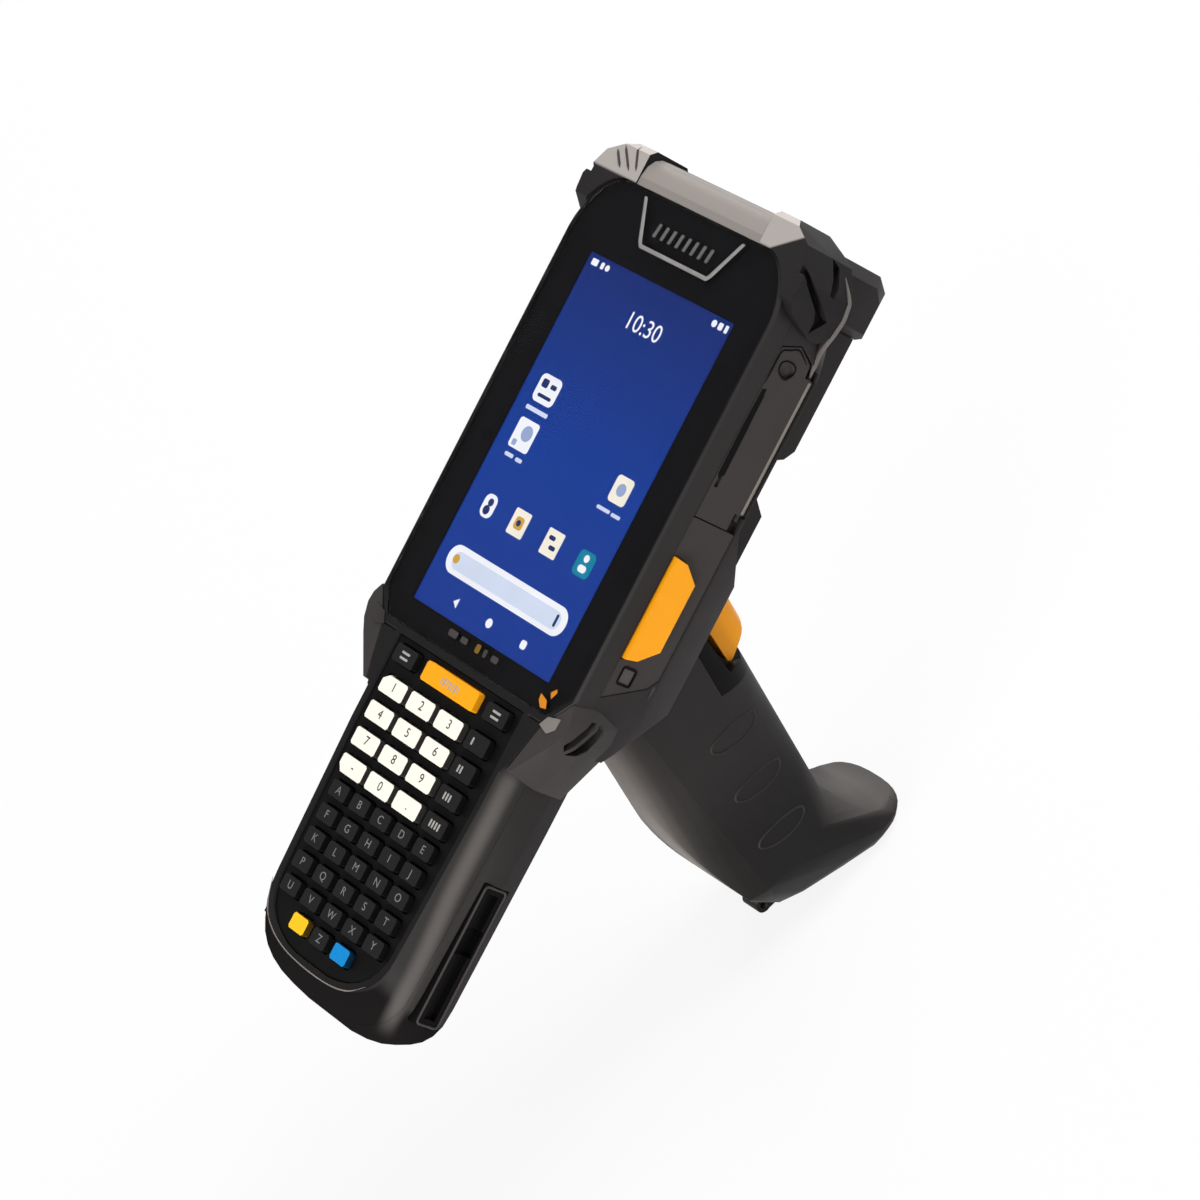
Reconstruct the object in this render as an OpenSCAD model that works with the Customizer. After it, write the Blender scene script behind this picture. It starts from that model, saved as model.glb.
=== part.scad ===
// Portable barcode terminal with a pistol grip, standing on the base of its grip.
// All lengths are in millimetres and all angles in degrees.

/* [Display] */
// Width of the lit area
screen_w = 56.2; // [52:0.2:60]
// Length of the lit area
screen_l = 93.6; // [88:0.2:99]
// Thickness of the display panel
panel_t = 2.4; // [1.6:0.1:2.8]
// Width of the panel's own border
panel_border = 1.6; // [1:0.1:2.4]
// Thickness of the cover glass
glass_t = 1.2; // [0.8:0.1:1.8]
// Glass beside the lit area
glass_side = 10.4; // [8:0.2:12]
// Glass above the lit area
glass_top = 18.7; // [17:0.1:22]
// Glass below the lit area
glass_bottom = 6.7; // [5:0.1:9]
// Width of the cut on the glass's lower corners
glass_cut_w = 5.8; // [4:0.2:8]
// Length of the cut on the glass's lower corners
glass_cut_l = 6.6; // [5:0.2:9]
// Width of the rounded upper corners
corner_w = 11.5; // [9:0.5:14]
// Length of the rounded upper corners
corner_l = 15.5; // [12:0.5:18]
// Height that the glass stands above the rim of the housing
glass_proud = 0.3; // [0.1:0.1:0.6]

/* [Head] */
// Housing beyond the glass at each side
head_lip = 1.4; // [1:0.1:2]
// Housing beyond the glass at the top
head_brow = 0.5; // [0.4:0.1:1.2]
// Thickness of the side walls
side_wall = 3; // [2.6:0.1:3.4]
// Thickness of the other housing walls
wall = 2.2; // [1.8:0.1:2.6]
// Thickness of the face under the glass
face_t = 1.2; // [0.8:0.1:1.5]
// Depth of the front housing below its rim
front_depth = 5.8; // [5.4:0.1:6.6]
// Depth of the side rails below the screen
rail_depth = 20.5; // [19.5:0.1:22]
// Depth of the upper back below the screen
back_depth = 29; // [27:0.5:30.5]
// Depth of the lower back below the screen
pod_depth = 31.5; // [30.5:0.5:33]
// Half width of the upper back
back_half_w = 28; // [26:0.5:31]
// Half width of the lower back
pod_half_w = 35.5; // [33:0.5:37]
// Distance from the glass's bottom edge to the end of the head's skirt
skirt_l = 14; // [12:0.5:16]
// Chamfer along the edge of the front housing
rim_chamfer = 0.7; // [0.4:0.1:1]

/* [Scan nose] */
// Half width of the scan nose
nose_half_w = 31; // [29:0.5:33]
// Length of the scan nose
nose_l = 16; // [14:0.5:18]
// Depth of the scan nose below the screen
nose_depth = 38.5; // [36:0.5:41]
// Distance that the nose stands beyond the housing's top edge
nose_reach = 6.6; // [5:0.2:8]
// Width of the scan window
window_w = 46; // [40:1:52]
// Height of the scan window
window_h = 17; // [14:0.5:19]
// Thickness of the scan window
window_t = 1.6; // [1:0.1:2.4]
// Length of the raised cover on the back
cover_l = 35.5; // [28:0.5:37]
// Half width of the raised cover
cover_half_w = 28.5; // [26:0.5:30]
// Height of the raised cover
cover_h = 8.5; // [6:0.5:10]

/* [Bumpers and ears] */
// Distance that a bumper stands beyond the side of the head
bumper_side = 3.2; // [2.4:0.1:4]
// Distance that a bumper stands beyond the top edge of the head
bumper_top = 9; // [8.6:0.1:10]
// Depth of a bumper
bumper_depth = 17; // [15:0.5:19]
// Half width of the bar between the bumpers
bar_half_w = 24; // [22:0.5:26]
// Distance that the bar stands beyond the top edge of the head
bar_reach = 8; // [7:0.2:8.4]
// Depth of the bar
bar_depth = 9; // [8:0.2:10]
// Distance that an ear stands beyond the side of the head
ear_side = 2.8; // [2.2:0.1:4]
// Depth of an ear
ear_depth = 15; // [13:0.5:17]
// Width of the strap slot in an ear
slot_w = 3.6; // [3:0.1:3.8]
// Depth of the strap slot
slot_depth = 4; // [3:0.2:5]

/* [Lower body] */
// Half width of the lower body at its rim
low_rim_w = 28; // [27.8:0.1:29.5]
// Half width of the lower body where it is widest
low_wide_w = 33.6; // [32.6:0.1:35]
// Half width of the lower body's flat back
low_back_w = 25; // [23:0.5:27]
// Distance from the glass's bottom edge to the rim's lower end
low_rim_l = 83; // [82:0.5:86]
// Distance that the widest part reaches beyond the rim's lower end
low_bulge_l = 8; // [6:0.5:10]
// Depth of the widest part below the screen
low_wide_z = 12; // [10:0.5:14]
// Depth of the lower body's back below the screen
low_depth = 24; // [23:0.5:26]
// Length of the rounded lower end
low_end_l = 17; // [15:0.5:18]
// Amount that each side tapers in towards the lower end
low_taper = 1.6; // [1:0.1:2]
// Thickness of the keypad panel
pad_t = 1.7; // [1.3:0.1:2]
// Depth of the keypad panel's face below the rim
pad_sunk = 0.5; // [0.3:0.1:0.8]
// Width of the rim around the keypad panel
rim_w = 2; // [1.7:0.1:2.2]
// Width of the ledge under the keypad panel's edge
ledge_w = 1; // [0.6:0.1:1.2]
// Length of the side rails
side_rail_l = 37; // [34:0.5:40]
// Height of the side rails
side_rail_h = 7.6; // [6:0.2:8.6]

/* [Keys] */
// Column spacing of the number keys
num_pitch_x = 11.75; // [11.5:0.05:12]
// Row spacing of the number keys
num_pitch_y = 7.2; // [7.1:0.05:7.4]
// Width of a number key
num_w = 9.9; // [8.6:0.1:10.2]
// Length of a number key
num_l = 4.6; // [4:0.1:4.9]
// Column spacing of the letter keys
let_pitch_x = 9; // [8.8:0.1:9.4]
// Row spacing of the letter keys
let_pitch_y = 6.4; // [6.3:0.05:6.5]
// Width of a letter key
let_w = 6.8; // [6:0.1:7]
// Length of a letter key
let_l = 4.1; // [3.6:0.1:4.2]
// Width of the scan key on the keypad
wide_w = 21.6; // [19:0.2:22.4]
// Width of the two round-cornered keys in the bottom row
pill_w = 6.2; // [5.4:0.1:6.6]
// Height of the keys above the screen
key_top = 2.3; // [1.9:0.1:2.8]
// Travel of a key
key_travel = 0.6; // [0.4:0.05:0.7]
// Gap around a key
key_gap = 0.35; // [0.3:0.05:0.4]
// Length of a side scan key
side_key_l = 26.4; // [24:0.2:28]
// Height of a side scan key
side_key_h = 9.1; // [9:0.1:10.6]
// Travel of a side key
side_travel = 0.8; // [0.5:0.1:0.9]
// Width of the small side button
button_w = 3.6; // [3:0.1:4]

/* [Grip] */
// Backward lean of the grip from square to the screen
tilt = 26; // [24:0.5:28]
// Height of the screen's centre above the base
screen_height = 150.7; // [148:0.5:156]
// Distance of the screen's centre behind the middle of the base
screen_back = 5.9; // [4:0.1:8]
// Half width of the grip
grip_half_w = 16.5; // [15.5:0.1:17.5]
// Half depth of the grip at the top
grip_half_d = 21.2; // [20:0.1:22]
// Distance of the grip's centre behind the middle of the base
grip_back = 15.9; // [15:0.1:17]
// Amount that the grip's back tapers in at its lower end
grip_taper = 10; // [8:0.5:11]
// Thickness of the grip's walls
grip_wall = 2.2; // [1.8:0.1:2.4]
// Distance that the toe reaches in front of the middle of the base
toe_reach = 22; // [19:0.5:23]
// Thickness of the toe
toe_t = 6.4; // [6:0.2:8.5]
// Half width of the toe
toe_half_w = 15.6; // [14:0.2:16.4]
// Thickness of the base plate
base_t = 2.4; // [2:0.1:3]
// Radius of the grip's rounded heel
heel_r = 8; // [6:0.5:9]
// Length of the battery in the grip
battery_l = 50; // [44:1:54]

/* [Trigger] */
// Width of the trigger
trigger_w = 22; // [14:0.5:23]
// Height of the trigger's lower tip above the base
trigger_low = 79.5; // [76:0.5:81]
// Distance that the trigger stands in front of the grip
trigger_reach = 4; // [3:0.2:5]
// Radius of the trigger's pin
pin_r = 1.5; // [1.2:0.1:1.8]
// Radial clearance of the pin in the trigger
pin_gap = 0.05; // [0.02:0.01:0.09]
// Swing of the trigger
trigger_swing = 9; // [7:0.5:10]
// Height of the collar's lower edge above the base
collar_low = 74; // [72:0.5:75]
// Radius of the trigger spring's wire coil
spring_r = 2.4; // [2:0.1:2.8]

/* [Port cover] */
// Length of the port cover
cover_len = 46; // [42:0.5:48]
// Thickness of the port cover
flap_t = 1.5; // [1.2:0.1:1.6]
// Radius of the port cover's hinge pins
hinge_r = 0.7; // [0.6:0.05:0.8]
// Radial clearance of the hinge pins
hinge_gap = 0.06; // [0.03:0.01:0.09]

/* [Hidden] */
$fn = 48;
eps = 0.01;
big = 300;
// clearance between fixed pieces that fit into each other
fit = 0.2;
// clearance between a moving piece and what it passes
run = 0.35;

// levels below and above the screen
lens_gap = 0.3;
glass_z0 = lens_gap;
glass_z1 = glass_z0 + glass_t;
rim_z = glass_z1 - glass_proud;
face_z = glass_z0 - face_t;
part_z = rim_z - front_depth;
tray_t = 0.8;
tray_z = -panel_t - tray_t;
board_t = 1.2;
board_z1 = part_z - 0.4;
board_z0 = board_z1 - board_t;

// outline of the glass and of the head
glass_hw = screen_w / 2 + glass_side;
glass_y1 = screen_l / 2 + glass_top;
glass_y0 = -screen_l / 2 - glass_bottom;
panel_hw = screen_w / 2 + panel_border;
panel_hl = screen_l / 2 + panel_border;
head_hw = glass_hw + head_lip;
head_y1 = glass_y1 + head_brow;
head_y0 = glass_y0 - 2.5;
skirt_y = glass_y0 - skirt_l - 3;

// lower body
pad_z1 = rim_z - pad_sunk;
pad_z0 = pad_z1 - pad_t;
pad_hw = low_rim_w - rim_w;
low_rim_y = glass_y0 - low_rim_l;
low_wide_y = low_rim_y - low_bulge_l;
low_back_y = low_rim_y - 1.5;
low_top_y = glass_y0 - 26;
low_join_w = low_rim_w + (low_wide_w - low_rim_w) * 0.72;
low_join_y = low_rim_y - low_bulge_l * 0.7;
pad_y1 = glass_y0 - 2.2;
pad_y0 = low_rim_y + rim_w;
pad_board_z1 = pad_z0 - 2.7;
pad_board_t = 1;
pad_board_z0 = pad_board_z1 - pad_board_t;
end_power = 0.78;
corner_power = 1.14;

// keys
flange_t = 0.6;
flange_out = 0.4;
flange_gap = 0.3;
// the rows are spread over the length of the rim, between two margins
row0_margin = 6.3;
pill_margin = 8.7;
num_gap = 8;
let_gap = 6.4;
rows_need = num_gap + 3 * num_pitch_y + let_gap + 5 * let_pitch_y;
rows_share = (low_rim_l - row0_margin - pill_margin) / rows_need;
num_step_y = num_pitch_y * rows_share;
let_step_y = let_pitch_y * rows_share;
row0_y = glass_y0 - row0_margin;
row0_w = 8.4;
num_y1 = row0_y - num_gap * rows_share;
let_y1 = num_y1 - 3 * num_step_y - let_gap * rows_share;
pill_y = let_y1 - 5 * let_step_y;
num_x1 = -1.5 * num_pitch_x;
letters_x = 2 * let_pitch_x + let_w / 2 + flange_out + run;

// sides
skin_t = 1.4;
skin_sunk = 0.2;
skin_x0 = head_hw - skin_sunk - skin_t;
wall_in_x = head_hw - side_wall;
skin_y0 = -44;
skin_top_z = part_z - 0.5;
skin_low_z = -rail_depth + 0.8;
flap_y1 = glass_y1 - 16;
flap_y0 = flap_y1 - cover_len;
flap_x1 = head_hw - skin_sunk;
hinge_x = flap_x1 - hinge_r - 0.5;
hinge_z = skin_low_z + hinge_r + 0.4;
key_y = -20.2;
key_z = (skin_top_z - 0.6) - side_key_h / 2;
button_y = -37.2;
button_z = -9.8;
side_board_x = 32.6;

// main board
main_hw = wall_in_x - 7.9;
main_y0 = glass_y0 + 13.5;
main_y1 = glass_y1 - 15.5;

// grip, measured from the middle of the base
battery_z = heel_r + base_t + 4;
grip_front = grip_half_d - grip_back;
trigger_front = grip_front + trigger_reach;
pin_y = grip_front - 7;
// height of the pin below the screen's centre
pin_drop = 46.7;
pin_z = screen_height - pin_drop;
trigger_h = pin_z - trigger_low;
trigger_back = trigger_front - 10.5;
slot_back_y = trigger_back - trigger_h * sin(trigger_swing) - 2;
collar_back = slot_back_y - 2;
// rise of the collar's edges towards the back, and width of its band
collar_slope = 0.38;
collar_band = 4.8;
block_half_w = 18;
block_z = -46;
grip_rear = -grip_back - grip_half_d;
heel_y = grip_rear + grip_taper;

// ---------- helpers ----------

// signed power, for rounded outlines
function spow(v, p) = sign(v) * pow(abs(v), p);

// points of a quarter of a rounded outline, from angle a0 to a1
function quarter(cx, cy, rx, ry, a0, a1, n, p) = [
  for (i = [0:n])
    let (a = a0 + (a1 - a0) * i / n)
    [cx + rx * spow(cos(a), p), cy + ry * spow(sin(a), p)]
];

// closed outline from its right half, listed from the bottom up
function both_sides(right) = concat(
  right,
  [for (i = [len(right) - 1:-1:0]) [-right[i][0], right[i][1]]]
);

// rounded rectangle about a centre
function pill_pts(cx, cy, w, l, p) = concat(
  quarter(cx, cy, w / 2, l / 2, 0, 90, 4, p),
  quarter(cx, cy, w / 2, l / 2, 94, 176, 4, p),
  quarter(cx, cy, w / 2, l / 2, 180, 270, 4, p),
  quarter(cx, cy, w / 2, l / 2, 274, 356, 4, p)
);

// moves the head and the lower body from the screen's frame onto the grip
module place() {
  translate([0, -screen_back, screen_height])
    rotate([tilt, 0, 0])
      children();
}

// extrudes a (y, z) outline along x, from x0 to x1
module along_x(x0, x1) {
  translate([x0, 0, 0])
    rotate([90, 0, 90])
      linear_extrude(x1 - x0)
        children();
}

// extrudes an (x, y) outline between two levels
module between(z0, z1) {
  translate([0, 0, z0])
    linear_extrude(z1 - z0)
      children();
}

// box between two corners
module block(x0, x1, y0, y1, z0, z1) {
  translate([x0, y0, z0])
    cube([x1 - x0, y1 - y0, z1 - z0]);
}

// mirrored copy for the left side
module left_side() {
  mirror([1, 0, 0])
    children();
}

// ---------- outlines ----------

// outline of the glass, made smaller by d
function glass_pts(d) = both_sides(concat(
  [
    [glass_hw - glass_cut_w - d * 0.4, glass_y0 + d],
    [glass_hw - d, glass_y0 + glass_cut_l + d * 0.4]
  ],
  quarter(
    glass_hw - corner_w - d, glass_y1 - corner_l - d,
    corner_w, corner_l, 0, 90, 8, corner_power
  )
));

// outline of the head, made smaller by d
function head_pts(d) = both_sides(concat(
  [
    [head_hw - glass_cut_w - 0.6 - d * 0.4, head_y0 + d],
    [head_hw - d, head_y0 + glass_cut_l + 1.4 + d * 0.4]
  ],
  quarter(
    head_hw - corner_w - d, head_y1 - corner_l - d,
    corner_w, corner_l, 0, 90, 8, corner_power
  )
));

// outline of the lower body with a half width and a lower end
function low_pts(hw, y_end, y_start, t = 1) = both_sides(concat(
  [
    for (p = quarter(0, y_end + low_end_l, hw - low_taper * t, low_end_l, -90, 0, 8, end_power))
      if (p[0] > eps) p
  ],
  [[hw, low_top_y], [hw, y_start]]
));

// side view of a head layer from the brow to the skirt
function rail_pts() = [
  [head_y1 - 0.5, part_z],
  [head_y1 - 0.5, -12],
  [head_y1 - 3, -16.5],
  [head_y1 - 9, -rail_depth],
  [8, -rail_depth],
  [-6, -rail_depth],
  [-44, -rail_depth],
  [-56, -16],
  [skirt_y + 2, -10],
  [skirt_y + 2, part_z]
];

// ---------- front housing ----------

module head_front() {
  hull() {
    between(part_z, rim_z - rim_chamfer)
      polygon(head_pts(0));
    between(part_z, rim_z)
      polygon(head_pts(rim_chamfer));
  }
}

// whole lower body as one rounded form, made smaller by d
module low_core(d) {
  hull() {
    between(rim_z - eps, rim_z)
      polygon(low_pts(low_rim_w - 0.4 - d, low_rim_y + 0.4 + d, glass_y0));
    between(rim_z - 0.5, rim_z - 0.5 + eps)
      polygon(low_pts(low_rim_w + 0.2 - d, low_rim_y - 0.3 + d, glass_y0));
    between(part_z, part_z + eps)
      polygon(low_pts(low_join_w - d, low_join_y + d, glass_y0));
    between(-low_wide_z, -low_wide_z + eps)
      polygon(low_pts(low_wide_w - d, low_wide_y + d, glass_y0, 0.4));
    between(-low_wide_z - 5, -low_wide_z - 5 + eps)
      polygon(low_pts(low_wide_w - 1 - d, low_wide_y + 1 + d, glass_y0, 0.4));
    between(-low_depth + d, -low_depth + d + eps)
      polygon(low_pts(low_back_w - d * 0.5, low_back_y + d * 0.5, glass_y0, 0.4));
  }
}

module low_front() {
  intersection() {
    low_core(0);
    block(-big, big, -big, big, part_z, big);
  }
}

module front_housing() {
  color("dimgray")
    place()
      difference() {
        union() {
          head_front();
          low_front();
          // shoulders between the head and the lower body
          between(part_z, rim_z)
            polygon(both_sides([[low_rim_w, skirt_y], [head_hw - glass_cut_w - 0.6, head_y0]]));
        }
        // seat of the glass
        between(glass_z0, big)
          polygon(glass_pts(-fit));
        // window for the display panel
        block(-panel_hw - fit, panel_hw + fit, -panel_hl - fit, panel_hl + fit, face_z - eps, big);
        // hollow behind the face
        between(part_z - eps, face_z)
          polygon(head_pts(side_wall));
        // seat of the keypad panel
        between(pad_z0, big)
          polygon(low_pts(pad_hw, pad_y0, pad_y1));
        // hollow behind the keypad panel
        between(part_z - eps, pad_z0 + eps)
          polygon(low_pts(pad_hw - ledge_w, pad_y0 + ledge_w, pad_y1 - 0.6));
        // room for the flanges of the letter keys
        block(
          -letters_x, letters_x, let_y1 - 4 * let_step_y - let_l / 2 - flange_out - run,
          let_y1, part_z - eps, pad_z0 + eps
        );
      }
}

// ---------- rear housing ----------

// outline of the upper back at its rails, made smaller by d
function upper_pts(d) = both_sides(concat(
  [[head_hw - d, -6]],
  quarter(
    head_hw - corner_w - d, head_y1 - 8.5 - corner_l - d,
    corner_w, corner_l, 0, 90, 8, corner_power
  )
));

// upper back with its bevelled sides
module back_tub(d) {
  hull() {
    between(part_z - 8, part_z)
      polygon(head_pts(d));
    between(-rail_depth + d, -rail_depth + d + eps)
      polygon(upper_pts(d));
    along_x(-back_half_w + d * 0.4, back_half_w - d * 0.4)
      polygon([
        [head_y1 - 12 - d, -back_depth + d],
        [-6, -back_depth + d],
        [-6, -back_depth + d + eps],
        [head_y1 - 12 - d, -back_depth + d + eps]
      ]);
  }
}

// deeper lower back that carries the grip
module pod_tub(d) {
  hull() {
    along_x(-head_hw + d, head_hw - d)
      polygon([
        [4 - d, part_z],
        [4 - d, -rail_depth + d],
        [-46, -rail_depth + d],
        [-58 + d, -15 + d * 0.5],
        [head_y0 - 2 + d, part_z]
      ]);
    along_x(-pod_half_w + d, pod_half_w - d)
      polygon([
        [-8 - d, -pod_depth + d],
        [-42, -pod_depth + d],
        [-56 + d, -pod_depth + 10 + d * 0.5],
        [-56 + d, -18],
        [-8 - d, -18]
      ]);
  }
}

// rounded back of the lower body
module low_tub() {
  intersection() {
    low_core(0);
    block(-big, big, -big, big, -big, part_z);
  }
}

// scan nose behind the bar
module nose(d) {
  nose_y1 = head_y1 + nose_reach;
  hull() {
    along_x(-nose_half_w + 3 + d, nose_half_w - 3 - d)
      polygon([
        [nose_y1 - d, -bar_depth],
        [nose_y1 - d, -nose_depth + 4 + d],
        [nose_y1 - 3 - d, -nose_depth + d],
        [nose_y1 - nose_l + 1 + d, -nose_depth + d],
        [nose_y1 - nose_l + d, -nose_depth + 2 + d],
        [nose_y1 - nose_l + d, -bar_depth]
      ]);
    along_x(-nose_half_w + d, nose_half_w - d)
      polygon([
        [nose_y1 - 3 - d, -bar_depth],
        [nose_y1 - 3 - d, -nose_depth + 6 + d],
        [nose_y1 - 6 - d, -nose_depth + 3 + d],
        [nose_y1 - nose_l + 2 + d, -nose_depth + 3 + d],
        [nose_y1 - nose_l + 2 + d, -bar_depth]
      ]);
  }
}

// block in front of the trigger that carries the top of the grip
module trigger_block() {
  along_x(-block_half_w, block_half_w)
    polygon([
      [14.5, -back_depth + 2],
      [13, block_z + 5],
      [9, block_z],
      [-8, block_z],
      [-11.5, -back_depth - 4],
      [-11.5, -back_depth + 2]
    ]);
}

// places of the screws through the rear housing
screw_spots = [
  [back_half_w - 4, head_y1 - 54], [-back_half_w + 4, head_y1 - 54],
  [low_back_w - 7, skirt_y - 12], [-low_back_w + 7, skirt_y - 12],
  [low_back_w - 9, low_back_y + 13], [-low_back_w + 9, low_back_y + 13]
];
screw_r = 1.25;
screw_head_r = 2.4;
screw_head_t = 1.6;
screw_l = 7;
function screw_back(i) = i < 2 ? -back_depth : -low_depth;

module rear_housing() {
  color("dimgray")
    place()
      difference() {
        union() {
          difference() {
            union() {
              back_tub(0);
              pod_tub(0);
              low_tub();
              nose(0);
              trigger_block();
            }
            // hollows, joined inside
            back_hollow();
            pod_hollow();
            low_hollow();
            nose_hollow();
          }
          housing_posts();
        }
        // seats of the side panels
        side_seat();
        left_side()
          side_seat();
        // ways through the walls for the side keys
        side_key_way();
        left_side()
          side_key_way();
        button_way();
        // bay behind the port cover
        port_bay();
        // groove and holes of the port cover's hinge
        hinge_seat();
        // seats of the side rails
        rail_seat();
        left_side()
          rail_seat();
        // seat and way of the scan window
        window_seat();
        // seat for the battery leads above the grip
        block(-6, 6, -36, -28, -pod_depth - eps, -pod_depth + wall + eps);
        // screw holes
        for (i = [0:len(screw_spots) - 1])
          translate([screw_spots[i][0], screw_spots[i][1], screw_back(i)])
            screw_hole();
      }
}

module screw_hole() {
  translate([0, 0, -1])
    cylinder(r = screw_head_r + fit, h = screw_head_t + 1.6);
  cylinder(r = screw_r + 0.05, h = screw_l + 2);
}

module back_hollow() {
  hull() {
    between(part_z - 10, part_z + eps)
      polygon(head_pts(side_wall));
    block(
      -back_half_w + 3, back_half_w - 3, -2, head_y1 - 18,
      -back_depth + wall, -back_depth + wall + eps
    );
  }
}

module pod_hollow() {
  hull() {
    block(-wall_in_x, wall_in_x, -46, 2, -rail_depth + wall, part_z + eps);
    block(
      -pod_half_w + side_wall, pod_half_w - side_wall, -40, -10,
      -pod_depth + wall, -pod_depth + wall + eps
    );
  }
}

module low_hollow() {
  hull() {
    between(part_z - eps, part_z + eps)
      polygon(low_pts(pad_hw - ledge_w, pad_y0 + ledge_w, head_y0 + 12));
    between(-low_depth + wall, -low_depth + wall + eps)
      polygon(low_pts(low_back_w - rim_w, low_back_y + 2 * rim_w, -46));
  }
}

module nose_hollow() {
  nose_y1 = head_y1 + nose_reach;
  block(
    -window_w / 2 - 2, window_w / 2 + 2,
    nose_y1 - nose_l + wall, nose_y1 - window_t - wall,
    -nose_depth + wall + 1.5, -bar_depth - 4
  );
}

// posts that carry the boards, and bosses around the screws
module housing_posts() {
  for (sx = [-1, 1]) {
    translate([sx * (main_hw - 5), main_y1 - 6, -back_depth + wall / 2])
      cylinder(r = 2.2, h = board_z0 + back_depth - wall / 2);
    translate([sx * (main_hw - 5), main_y0 + 6, -pod_depth + wall / 2])
      cylinder(r = 2.2, h = board_z0 + pod_depth - wall / 2);
    for (y = [skirt_y - 4, low_rim_y + 16])
      translate([sx * 11, y, -low_depth + wall / 2])
        cylinder(r = 2.2, h = pad_board_z0 + low_depth - wall / 2);
  }
  for (i = [0:len(screw_spots) - 1])
    translate([screw_spots[i][0], screw_spots[i][1], screw_back(i) + wall / 2])
      cylinder(r = screw_head_r + 1.2, h = screw_l + 1);
}

// ---------- sides of the head ----------

// outline of the side panel and of the port cover together
function side_pts(d) = [
  [skin_y0 + d, skin_top_z - d],
  [skin_y0 + 6 + d, skin_low_z + 2.4 + d * 0.3],
  [skin_y0 + 9 + d * 0.5, skin_low_z + d],
  [flap_y1 - 4 - d * 0.5, skin_low_z + d],
  [flap_y1 - d, -11],
  [flap_y1 - 2 - d, skin_top_z - d]
];

module side_seat() {
  along_x(skin_x0, big)
    polygon(side_pts(0));
}

function side_key_pts(d) = [
  [key_y + side_key_l / 2 - d, key_z + side_key_h / 2 - d],
  [key_y + side_key_l / 2 - 0.5 - d, key_z + 0.6],
  [key_y + side_key_l / 2 - 4.2 - d * 0.6, key_z - side_key_h / 2 + d],
  [key_y - side_key_l / 2 + 4.6 + d * 0.6, key_z - side_key_h / 2 + d],
  [key_y - side_key_l / 2 + 0.6 + d, key_z + 0.8],
  [key_y - side_key_l / 2 + d, key_z + side_key_h / 2 - d]
];

module side_key_way() {
  along_x(wall_in_x - 4, big)
    polygon(side_key_pts(-run));
}

module button_way() {
  along_x(wall_in_x - 4, big)
    translate([button_y, button_z])
      square(button_w + 2 * run, center = true);
}

module side_panel(with_flap) {
  difference() {
    along_x(skin_x0, skin_x0 + skin_t)
      difference() {
        polygon(side_pts(fit / 2));
        polygon(side_key_pts(-run));
        if (with_flap)
          translate([flap_y0 - run, -big / 2])
            square([big, big]);
      }
    if (with_flap)
      button_way();
  }
}

module right_side_panel() {
  color("slategray")
    place()
      side_panel(true);
}

module left_side_panel() {
  color("slategray")
    place()
      left_side()
        side_panel(false);
}

module side_key() {
  flange_x = wall_in_x - flange_gap - 0.8;
  along_x(flange_x + 0.4, head_hw + 0.9)
    polygon(side_key_pts(0));
  along_x(flange_x, flange_x + 0.8)
    polygon(side_key_pts(-0.9));
  translate([flange_x + eps, key_y, key_z])
    rotate([0, -90, 0])
      cylinder(r = 1.4, h = flange_x - side_board_x - side_travel - 0.1);
}

module right_scan_key() {
  color("orange")
    place()
      side_key();
}

module left_scan_key() {
  color("orange")
    place()
      left_side()
        side_key();
}

module side_button() {
  flange_x = wall_in_x - flange_gap - 0.8;
  color("darkslategray")
    place() {
      along_x(flange_x + 0.4, head_hw - 0.3)
        translate([button_y, button_z])
          square(button_w, center = true);
      along_x(flange_x, flange_x + 0.8)
        translate([button_y, button_z])
          square(button_w + 1.6, center = true);
      translate([flange_x + eps, button_y, button_z])
        rotate([0, -90, 0])
          cylinder(r = 1, h = flange_x - side_board_x - side_travel - 0.1);
    }
}

// ---------- port cover ----------

// bay behind the port cover, with room for the pull lip
module port_bay() {
  block(wall_in_x - eps, skin_x0 + eps, flap_y0 + 6, flap_y1 - 8, -14.5, skin_top_z - 2.5);
}

module hinge_seat() {
  // round groove that the knuckle turns in
  translate([hinge_x, flap_y0 + 4, hinge_z])
    rotate([-90, 0, 0])
      cylinder(r = hinge_r + 0.5 + run, h = cover_len - 10);
  // way out of the groove for the open cover
  block(hinge_x, big, flap_y0 + 4, flap_y1 - 6, hinge_z - hinge_r - 0.5 - run, hinge_z);
  // holes of the hinge pins
  translate([hinge_x, flap_y0 + 2.4, hinge_z])
    rotate([-90, 0, 0])
      cylinder(r = hinge_r + hinge_gap, h = cover_len - 6.8);
}

function flap_pts() = [
  [flap_y0, hinge_z + 2],
  [flap_y0 + 4 + run, hinge_z + 2],
  [flap_y0 + 4 + run, hinge_z],
  [flap_y1 - 6 - run, hinge_z],
  [flap_y1 - 6 - run, hinge_z + 2],
  [flap_y1 - 3.2, hinge_z + 2.6],
  [flap_y1 - run, -11],
  [flap_y1 - 2 - run, skin_top_z - run],
  [flap_y0, skin_top_z - run]
];

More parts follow.
